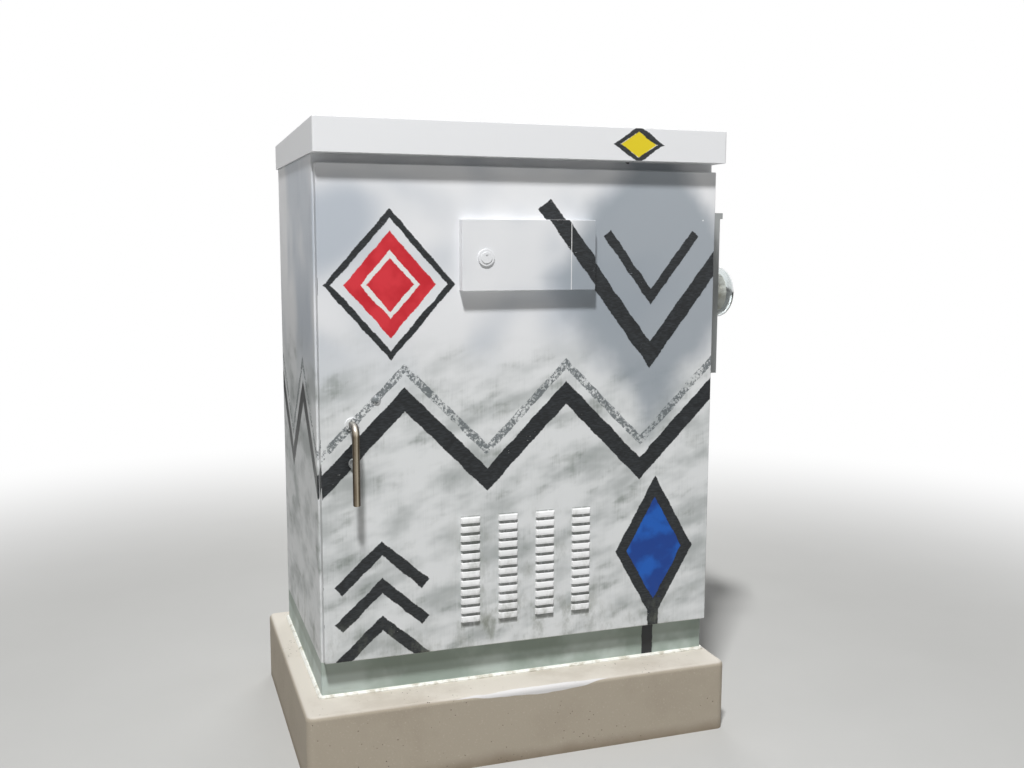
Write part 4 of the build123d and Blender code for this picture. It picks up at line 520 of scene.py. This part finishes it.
def zinc_steel():
    """Zinc-plated steel with its crystal patches."""
    shader = new_material("zinc_steel")
    crystals = shader.node("TexVoronoi", sockets={"Vector": shader.place, "Scale": 90.0}, output="Color")
    tone = shader.axes(crystals)[0]
    dull = shader.noise(25.0, 3.0)
    base = shader.mix(tone * 0.6 + dull * 0.3, colour(150, 153, 154), colour(196, 199, 199))
    return shader.surface(
        Base_Color=base, Metallic=0.9, Roughness=0.34 + tone * 0.16, Normal=shader.bump(dull, 0.0003, 0.4)
    )


def mill_aluminium():
    """Bare rolled aluminium with a fine grain and handling marks."""
    shader = new_material("mill_aluminium")
    grain = shader.noise(1.0, 3.0, 0.6, shader.stretched((14.0, 14.0, 700.0)))
    marks = shader.noise(12.0, 4.0, 0.65)
    base = shader.mix(shader.rise(marks, 0.42, 0.72) * 0.4, colour(196, 198, 200), colour(158, 160, 163))
    rough = 0.36 + grain * 0.14 + shader.rise(marks, 0.5, 0.7) * 0.12
    relief = shader.bump(grain, 0.0002, 0.4)
    return shader.surface(Base_Color=base, Metallic=0.92, Roughness=rough, Normal=relief)


def fine_coat(name, light, dark, roughness):
    """Sprayed paint with a fine orange peel and a little settled dust."""
    shader = new_material(name)
    dust = shader.rise(shader.noise(9.0, 4.0, 0.6), 0.45, 0.75)
    peel = shader.noise(520.0, 2.0)
    base = shader.mix(dust * 0.6, light, dark)
    relief = shader.bump(peel, 0.0002, 0.5)
    return shader.surface(Base_Color=base, Roughness=roughness + dust * 0.15, Normal=relief)


def moulded_plastic(name, light, dark, roughness):
    """Moulded plastic with an etched texture."""
    shader = new_material(name)
    etch = shader.noise(1400.0, 2.0)
    wear = shader.noise(30.0, 3.0, 0.6)
    base = shader.mix(shader.rise(wear, 0.45, 0.75), light, dark)
    relief = shader.bump(etch, 0.00015, 0.6)
    return shader.surface(Base_Color=base, Roughness=roughness + wear * 0.1, Normal=relief)


def brass_bar():
    """Drawn brass, browned in places."""
    shader = new_material("brass_bar")
    brown = shader.rise(shader.noise(26.0, 4.0, 0.6), 0.45, 0.70)
    grain = shader.noise(1.0, 3.0, 0.6, shader.stretched((700.0, 14.0, 700.0)))
    base = shader.mix(brown, colour(214, 178, 98), colour(148, 112, 58))
    return shader.surface(
        Base_Color=base, Metallic=1.0, Roughness=0.28 + brown * 0.2, Normal=shader.bump(grain, 0.0002, 0.4)
    )


def filter_media():
    """Fibrous filter paper, grey where dust has settled."""
    shader = new_material("filter_media")
    fibres = shader.noise(260.0, 4.0, 0.7)
    dust = shader.rise(shader.noise(10.0, 4.0), 0.40, 0.68)
    base = shader.mix(dust * 0.6, colour(224, 221, 210), colour(176, 171, 156))
    return shader.surface(Base_Color=base, Roughness=0.92, Normal=shader.bump(fibres, 0.0008, 0.8))


def meter_glass():
    """Clear glass, lightly dusted."""
    shader = new_material("meter_glass")
    dust = shader.rise(shader.noise(16.0, 4.0), 0.45, 0.75)
    return shader.surface(
        Base_Color=colour(238, 242, 242),
        Roughness=0.02 + dust * 0.10,
        Transmission_Weight=1.0,
        IOR=1.45,
        Normal=shader.bump(dust, 0.0001, 0.2),
    )


def switch_chrome():
    """Bright chrome with faint finger marks."""
    shader = new_material("switch_chrome")
    marks = shader.rise(shader.noise(60.0, 3.0), 0.45, 0.65)
    base = shader.mix(marks, colour(226, 227, 228), colour(200, 200, 200))
    return shader.surface(Base_Color=base, Metallic=1.0, Roughness=0.08 + marks * 0.14)


def round_bar_steel():
    """Drawn steel for the handle, browned by hands, with painted highlights down the middle of its bar and
    at its top, and a painted dark reflection round the sides of its bar.
    """
    shader = new_material("handle_steel")
    grain = shader.noise(1.0, 3.0, 0.6, shader.stretched((420.0, 420.0, 20.0)))
    film = shader.rise(shader.noise(18.0, 4.0, 0.6), 0.40, 0.70)
    across = shader.facing()[0]
    sides = shader.rise(abs(across + 0.15), 0.22, 0.80)
    # Painted highlight at the top bend of the bar.
    top_highlight = shader.rise(shader.z, HANDLE_TOP - 0.040, HANDLE_TOP)
    base = shader.mix(film, colour(160, 148, 130), colour(124, 110, 92))
    # Painted highlight down the middle of the bar.
    middle_highlight = shader.rise(abs(across - 0.05), 0.32, 0.10)
    base = shader.mix(middle_highlight * 0.55, base, colour(222, 212, 190))
    base = shader.mix(top_highlight, base, colour(206, 202, 194))
    # Painted dark reflection round the sides of the bar.
    base = shader.mix(sides * 0.85, base, colour(62, 52, 42))
    rough = 0.20 + grain * 0.14 + film * 0.10
    relief = shader.bump(grain, 0.0002, 0.35)
    return shader.surface(Base_Color=base, Metallic=1.0, Roughness=rough, Normal=relief)


def lens_plastic(name, glow):
    """Clear tinted plastic over a small lamp, with a faint ripple."""
    shader = new_material(name)
    ripple = shader.noise(900.0, 2.0)
    base = shader.mix(shader.noise(300.0), glow, tuple(0.6 * part for part in glow[:3]) + (1.0,))
    return shader.surface(
        Base_Color=base,
        Roughness=0.12 + ripple * 0.08,
        Emission_Color=glow,
        Emission_Strength=0.25,
        Normal=shader.bump(ripple, 0.0001, 0.4),
    )


def display_glass():
    """A pale green display with its rows of cells under clear glass."""
    shader = new_material("display_glass")
    columns = shader.math("PINGPONG", shader.x, 0.0020)
    rows = shader.math("PINGPONG", shader.z, 0.0055)
    cells = shader.rise(columns, 0.0002, 0.0005) * shader.rise(rows, 0.0006, 0.0010)
    base = shader.mix(cells, colour(120, 136, 96), colour(146, 162, 112))
    return shader.surface(Base_Color=base, Roughness=0.10 + cells * 0.05, Coat_Weight=0.6)


def coat_nodes():
    """Gives every CAD node the material of its slot."""
    coats = {
        "hood_paint": cabinet_paint(),
        "riser_paint": riser_paint(),
        "concrete": concrete(),
        "sealant": sealant(),
        "gasket_rubber": gasket_rubber(),
        "zinc": zinc_steel(),
        "stainless": brushed_steel(
            "stainless", colour(196, 196, 193), colour(150, 149, 145), (60.0, 60.0, 9.0), 0.26
        ),
        "handle_steel": round_bar_steel(),
        "bare_aluminium": mill_aluminium(),
        "equipment_paint": fine_coat(
            "equipment_paint", colour(176, 181, 180), colour(150, 152, 146), 0.42
        ),
        "panel_black": fine_coat("panel_black", colour(30, 31, 33), colour(62, 62, 60), 0.45),
        "module_plastic": moulded_plastic("module_plastic", colour(44, 46, 49), colour(70, 70, 70), 0.50),
        "breaker_plastic": moulded_plastic(
            "breaker_plastic", colour(26, 26, 28), colour(50, 50, 50), 0.42
        ),
        "brass_bar": brass_bar(),
        "filter_media": filter_media(),
        "meter_grey": fine_coat("meter_grey", colour(158, 161, 161), colour(132, 134, 132), 0.46),
        "meter_ring_steel": brushed_steel(
            "meter_ring_steel", colour(190, 191, 191), colour(150, 150, 148), (30.0, 300.0, 300.0), 0.24
        ),
        "meter_glass": meter_glass(),
        "register_plastic": moulded_plastic(
            "register_plastic", colour(206, 204, 196), colour(168, 160, 142), 0.40
        ),
        "switch_chrome": switch_chrome(),
    }
    coats["body_paint"] = coats["hood_paint"]
    coats["door_paint"] = coats["hood_paint"]
    for part in frame["record"]["subparts"]:
        materials = frame["nodes"][part["node"]].data.materials
        materials.clear()
        materials.append(coats[part["material_slot"]])
    bushing = frame["nodes"]["handle_bushing"].data.materials
    bushing.clear()
    bushing.append(coats["door_paint"])
    return coats


def front_of(shape):
    """The foremost of a shape's faces that look forward."""
    forward = [face for face in shape.faces if face.normal.y < -0.99]
    return min(forward, key=lambda face: face.calc_center_median().y)


def soften(shape, edges, offset, segments):
    """Rounds some of a shape's edges."""
    bmesh.ops.bevel(
        shape, geom=edges, offset=offset, segments=segments, profile=0.5, affect="EDGES", material=-1
    )
    shape.normal_update()


def disc(radius, height, segments):
    """A round disc that stands forward from its place."""
    shape = bmesh.new()
    bmesh.ops.create_cone(
        shape,
        cap_ends=True,
        segments=segments,
        radius1=radius,
        radius2=radius,
        depth=height,
        matrix=Matrix.Translation((0, -height / 2, 0)) @ Matrix.Rotation(radians(90), 4, "X"),
    )
    shape.normal_update()
    return shape


def screw_head(radius, height):
    """A domed screw head that faces forward, with a recess for the driver."""
    head = disc(radius, height, 12)
    soften(head, list(front_of(head).edges), height * 0.4, 2)
    face = front_of(head)
    bmesh.ops.inset_individual(head, faces=[face], thickness=radius * 0.30)
    bmesh.ops.translate(head, verts=face.verts, vec=(0, height * 0.5, 0))
    return head


def lamp_lens(radius, height):
    """A small domed lens that faces forward."""
    lens = disc(radius, height, 14)
    soften(lens, list(front_of(lens).edges), height * 0.7, 3)
    return lens


def plate(width, height, depth, corner):
    """A flat plate that faces forward, with rounded corners and a softened front edge."""
    shape = bmesh.new()
    size = Matrix.Diagonal((width, depth, height, 1.0))
    bmesh.ops.create_cube(shape, size=1.0, matrix=Matrix.Translation((0, -depth / 2, 0)) @ size)
    upright = [edge for edge in shape.edges if edge.verts[0].co.y != edge.verts[1].co.y]
    soften(shape, upright, corner, 4)
    soften(shape, list(front_of(shape).edges), min(corner, depth) * 0.35, 2)
    return shape


def bow_handle(span, reach, thickness):
    """A bent bar that stands forward from a face, its ends one above the other."""
    shape = bmesh.new()
    section = bmesh.ops.create_circle(
        shape,
        segments=8,
        radius=thickness / 2,
        matrix=Matrix.Translation((0, 0, span / 2)) @ Matrix.Rotation(radians(90), 4, "X"),
    )
    loop = section["verts"] + list(shape.edges)
    bmesh.ops.spin(shape, geom=loop, cent=(0, 0, 0), axis=(1, 0, 0), angle=pi, steps=12)
    ends = [edge for edge in shape.edges if edge.is_boundary]
    bmesh.ops.holes_fill(shape, edges=ends, sides=0)
    bmesh.ops.scale(shape, verts=shape.verts, vec=(1, 2 * reach / span, 1))
    return shape


def dial_ring(radius, thickness):
    """A thin ring that faces forward, round a small dial."""
    shape = bmesh.new()
    section = bmesh.ops.create_circle(
        shape, segments=6, radius=thickness / 2, matrix=Matrix.Translation((radius, 0, 0))
    )
    loop = section["verts"] + list(shape.edges)
    bmesh.ops.spin(
        shape, geom=loop, cent=(0, 0, 0), axis=(0, 1, 0), angle=2 * pi, steps=24, use_merge=True
    )
    return shape


def repeat(unit, places, turn=FORWARD):
    """One shape with a turned copy of a unit at each place. The unit is used up."""
    pattern = bpy.data.meshes.new("pattern")
    unit.to_mesh(pattern)
    unit.free()
    shape = bmesh.new()
    for place in places:
        before = len(shape.verts)
        shape.from_mesh(pattern)
        shape.verts.ensure_lookup_table()
        bmesh.ops.transform(shape, matrix=Matrix.Translation(place) @ turn, verts=shape.verts[before:])
    bpy.data.meshes.remove(pattern)
    return shape


def fit(name, shape, coat, body="cabinet"):
    """Makes an object of a shape, coats it and lets it ride on a body. The shape is used up."""
    bmesh.ops.recalc_face_normals(shape, faces=shape.faces)
    mesh = bpy.data.meshes.new(name)
    shape.to_mesh(mesh)
    shape.free()
    mesh.materials.append(coat)
    piece = bpy.data.objects.new(name, mesh)
    bpy.context.scene.collection.objects.link(piece)
    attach(piece, body)


def fit_lamps(name, radius, height, places, lenses):
    """A row of lamps of one colour, which is the last word of their name."""
    lamps = repeat(lamp_lens(radius, height), places)
    fit(name, lamps, lenses[name.split("_")[-1]])


def middles(low, high, count):
    """The middles of equal shares between two limits."""
    step = (high - low) / count
    return [low + step * (index + 0.5) for index in range(count)]


def corners_of(low, high, inset):
    """The four corners of a rectangle, moved in by an inset."""
    return [
        (across, up)
        for across in (low[0] + inset, high[0] - inset)
        for up in (low[1] + inset, high[1] - inset)
    ]


def front_corners(low, high, face, inset):
    """The corners of a box's front, on a face that looks forward."""
    return [(across, face, up) for across, up in corners_of((low[0], low[2]), (high[0], high[2]), inset)]


def dress_controller(coats, lenses):
    """Display, lamps, thumb screws and bow handles on the controller's front panel."""
    low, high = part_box("controller_panel")
    face = low[1] + KEY_RISE
    middle = ((low[0] + high[0]) / 2, (low[2] + high[2]) / 2)
    screws = front_corners(low, high, face, 0.010)
    fit("controller_screws", repeat(screw_head(0.0045, 0.0030), screws), coats["zinc"])
    handles = [(across, face, middle[1]) for across in (low[0] + 0.010, high[0] - 0.010)]
    fit("controller_handles", repeat(bow_handle(0.110, 0.030, 0.008), handles), coats["zinc"])
    place = (middle[0] - SCREEN_WIDTH / 2, face + 0.0015, middle[1] + 0.051)
    display = repeat(plate(0.144, 0.056, 0.0012, 0.002), [place])
    fit("controller_display", display, display_glass())
    across = middles(middle[0] - SCREEN_WIDTH, middle[0], 8)
    for name, chosen in (("green", across[:5]), ("amber", across[5:7]), ("red", across[7:])):
        places = [(x, face, middle[1] + 0.006) for x in chosen]
        fit_lamps(f"controller_lamps_{name}", 0.0026, 0.0026, places, lenses)


def dress_monitor(coats, lenses):
    """Two columns of lamps, corner screws and a bow handle on the monitor's front."""
    low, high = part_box("monitor_unit")
    face = low[1]
    screws = front_corners(low, high, face, 0.008)
    fit("monitor_screws", repeat(screw_head(0.0035, 0.0022), screws), coats["zinc"])
    handle = [((low[0] + high[0]) / 2 + 0.030, face, (low[2] + high[2]) / 2)]
    fit("monitor_handle", repeat(bow_handle(0.090, 0.026, 0.007), handle), coats["zinc"])
    rows = middles(low[2] + 0.030, high[2] - 0.030, 12)
    for name, share in (("green", 0.18), ("red", 0.36)):
        places = [(low[0] + share * (high[0] - low[0]), face, up) for up in rows]
        fit_lamps(f"monitor_lamps_{name}", 0.0022, 0.0022, places, lenses)


def dress_cards(coats, lenses):
    """A small bow handle, two lamps and two screws on each detector card."""
    low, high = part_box("detector_cards")
    face = low[1]
    middle = (low[0] + high[0]) / 2
    across = [middle + CARD_PITCH * (index - 3.5) for index in range(8)]
    up = (low[2] + high[2]) / 2
    grips = [(x, face, up - 0.020) for x in across]
    fit("card_handles", repeat(bow_handle(0.030, 0.012, 0.004), grips), coats["zinc"])
    screws = [(x, face, height) for x in across for height in (low[2] + 0.007, high[2] - 0.007)]
    fit("card_screws", repeat(screw_head(0.0028, 0.0018), screws), coats["zinc"])
    for name, lift in (("green", 0.034), ("red", 0.022)):
        places = [(x, face, up + lift) for x in across]
        fit_lamps(f"card_lamps_{name}", 0.0024, 0.0022, places, lenses)


def dress_load_switches(lenses):
    """Three lamps on each load switch."""
    low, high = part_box("load_switches")
    face = low[1] + SWITCH_HANDLE
    middle = (low[0] + high[0]) / 2
    across = [middle + SWITCH_PITCH * (index - 5.5) - 0.015 for index in range(12)]
    up = (low[2] + high[2]) / 2
    for name, lift in (("red", 0.030), ("amber", 0.016), ("green", 0.002)):
        places = [(x, face, up + lift) for x in across]
        fit_lamps(f"switch_lamps_{name}", 0.0026, 0.0024, places, lenses)


def dress_back_panel(coats, lenses):
    """Screws round the back panel, lamps on its load switches and screws on its terminal strips."""
    panel_low, panel_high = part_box("back_panel")
    screws = front_corners(panel_low, panel_high, panel_low[1], 0.014)
    fit("panel_screws", repeat(screw_head(0.0050, 0.0032), screws), coats["zinc"])
    dress_load_switches(lenses)
    low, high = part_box("terminal_strips")
    deck = panel_low[1] - STRIP_DECK
    middle = (low[0] + high[0]) / 2
    up = (low[2] + high[2]) / 2
    places = [
        (middle + STRIP_PITCH * (strip - 1.5) + STRIP_STEP * (index - 5), deck, up + lift)
        for strip in range(4)
        for index in range(11)
        for lift in (-0.0085, 0.0085)
    ]
    fit("terminal_screws", repeat(screw_head(0.0038, 0.0024), places), coats["brass_bar"])


def dress_power_panel(coats):
    """Corner screws and a double socket outlet on the power panel."""
    low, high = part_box("power_panel")
    face = low[0]
    places = [(face, across, up) for across, up in corners_of(low[1:], high[1:], 0.012)]
    screws = repeat(screw_head(0.0045, 0.0030), places, TO_THE_LEFT)
    fit("power_panel_screws", screws, coats["zinc"])
    up = low[2] + 0.076
    cover = repeat(plate(0.072, 0.116, 0.004, 0.006), [(face, 0.0, up)], TO_THE_LEFT)
    fit("outlet_cover", cover, coats["register_plastic"])
    heights = (up - 0.022, up + 0.022)
    places = [(face - 0.004, 0.0, height) for height in heights]
    faces = repeat(plate(0.034, 0.030, 0.002, 0.009), places, TO_THE_LEFT)
    fit("outlet_faces", faces, coats["register_plastic"])
    places = [(face - 0.006, aside, height + 0.004) for height in heights for aside in (-0.0065, 0.0065)]
    slots = repeat(plate(0.0022, 0.0085, 0.0004, 0.0005), places, TO_THE_LEFT)
    fit("outlet_slots", slots, coats["breaker_plastic"])


def dress_meter(coats):
    """Cover screws, and rings, pointers and a blank plate on the meter's register."""
    low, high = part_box("meter_cover")
    face = high[0] - METER_HOOD
    top = (high[1], high[2] - 0.016)
    places = [(face, across, up) for across, up in corners_of(low[1:], top, 0.016)]
    screws = repeat(screw_head(0.0050, 0.0034), places, TO_THE_RIGHT)
    fit("meter_cover_screws", screws, coats["zinc"])
    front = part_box("meter_register")[1][0]
    low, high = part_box("meter_glass")
    up = (low[2] + high[2]) / 2 + 0.0203
    aside = (low[1] + high[1]) / 2
    dials = [(front, aside + DIAL_PITCH * (index - 1.5), up) for index in range(4)]
    rings = repeat(dial_ring(0.0084, 0.0012), dials, TO_THE_RIGHT)
    fit("dial_rings", rings, coats["breaker_plastic"])
    for index, place in enumerate(dials):
        swing = TO_THE_RIGHT @ Matrix.Rotation(radians(40 + 75 * index), 4, "Y")
        pointer = repeat(plate(0.0012, 0.0110, 0.0006, 0.0003), [place], swing)
        fit(f"dial_pointer_{index + 1}", pointer, coats["breaker_plastic"])
    blank = repeat(plate(0.062, 0.026, 0.0012, 0.002), [(front - 0.001, aside, up - 0.042)], TO_THE_RIGHT)
    fit("register_plate", blank, coats["bare_aluminium"])


def dress_small_compartment(coats):
    """Corner screws on the switch plate behind the small door."""
    low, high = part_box("switch_plate")
    screws = front_corners(low, high, SWITCH_PLATE_FACE, 0.009)
    fit("switch_plate_screws", repeat(screw_head(0.0035, 0.0022), screws), coats["zinc"], "door")


def floor():
    """A wide pale floor that keeps the shadow."""
    sheet = bmesh.new()
    bmesh.ops.create_grid(sheet, x_segments=4, y_segments=4, size=FLOOR_SIZE)
    mesh = bpy.data.meshes.new("floor")
    sheet.to_mesh(mesh)
    sheet.free()
    plane = bpy.data.objects.new("floor", mesh)
    bpy.context.scene.collection.objects.link(plane)
    shader = new_material("floor")
    speckle = shader.noise(3.0, 3.0)
    base = shader.mix(speckle, colour(188, 188, 186), colour(193, 193, 191))
    near = shader.node("BsdfDiffuse", sockets={"Color": base})
    far = shader.node("Emission", sockets={"Color": WHITE, "Strength": 1.0})
    distance = shader.node("VectorMath", {"operation": "LENGTH"}, {0: shader.place}, "Value")
    fade = shader.rise(distance, FLOOR_NEAR, FLOOR_FAR) * shader.node("LightPath", output="Is Camera Ray")
    shader.end("Material", shader.node("MixShader", sockets={0: fade, 1: near, 2: far}))
    mesh.materials.append(shader.owner)


def backdrop():
    """A white world to the camera, gloss and glass, and a soft grey one that lights the object."""
    world = bpy.data.worlds.new("backdrop")
    bpy.context.scene.world = world
    shader = Shader(world)
    seen = shader.node("LightPath", output="Is Camera Ray")
    glossy = shader.node("LightPath", output="Is Glossy Ray")
    through = shader.node("LightPath", output="Is Transmission Ray")
    white = shader.math("MAXIMUM", shader.math("MAXIMUM", seen, glossy), through)
    soft = shader.node("Background", sockets={"Color": WHITE, "Strength": SKY_STRENGTH})
    bright = shader.node("Background", sockets={"Color": WHITE, "Strength": 1.0})
    shader.end("World", shader.node("MixShader", sockets={0: white, 1: soft, 2: bright}))


def lamp(name, place, aim, size, power):
    """A square soft light that points at a place."""
    light = bpy.data.lights.new(name, "AREA")
    light.shape = "SQUARE"
    light.size = size
    light.energy = power
    stand = bpy.data.objects.new(name, light)
    stand.location = place
    stand.rotation_euler = (Vector(place) - Vector(aim)).to_track_quat("Z", "Y").to_euler()
    bpy.context.scene.collection.objects.link(stand)


def studio():
    """A high key light from the front left, a weak fill from the right and one behind for the rear."""
    lamp("key", (-1.9, -4.0, 8.4), (0.0, -0.3, 0.9), 0.80, 890)
    lamp("fill", (3.6, -2.6, 2.2), (0.3, 0.0, 0.9), 2.4, 11)
    lamp("rear", (1.4, 4.2, 2.3), (0.0, 0.3, 0.9), 2.4, 92)


def camera():
    view = bpy.data.cameras.new("camera")
    view.lens = LENS
    eye = bpy.data.objects.new("camera", view)
    eye.location = CAMERA_PLACE
    eye.rotation_euler = [radians(angle) for angle in CAMERA_TURN]
    bpy.context.scene.collection.objects.link(eye)
    bpy.context.scene.camera = eye


bpy.context.scene.view_settings.view_transform = "Standard"
camera()
coats = coat_nodes()
lenses = {
    "red": lens_plastic("red_lens", colour(206, 40, 36)),
    "amber": lens_plastic("amber_lens", colour(226, 150, 30)),
    "green": lens_plastic("green_lens", colour(50, 176, 84)),
}
dress_controller(coats, lenses)
dress_monitor(coats, lenses)
dress_cards(coats, lenses)
dress_back_panel(coats, lenses)
dress_power_panel(coats)
dress_meter(coats)
dress_small_compartment(coats)
floor()
backdrop()
studio()
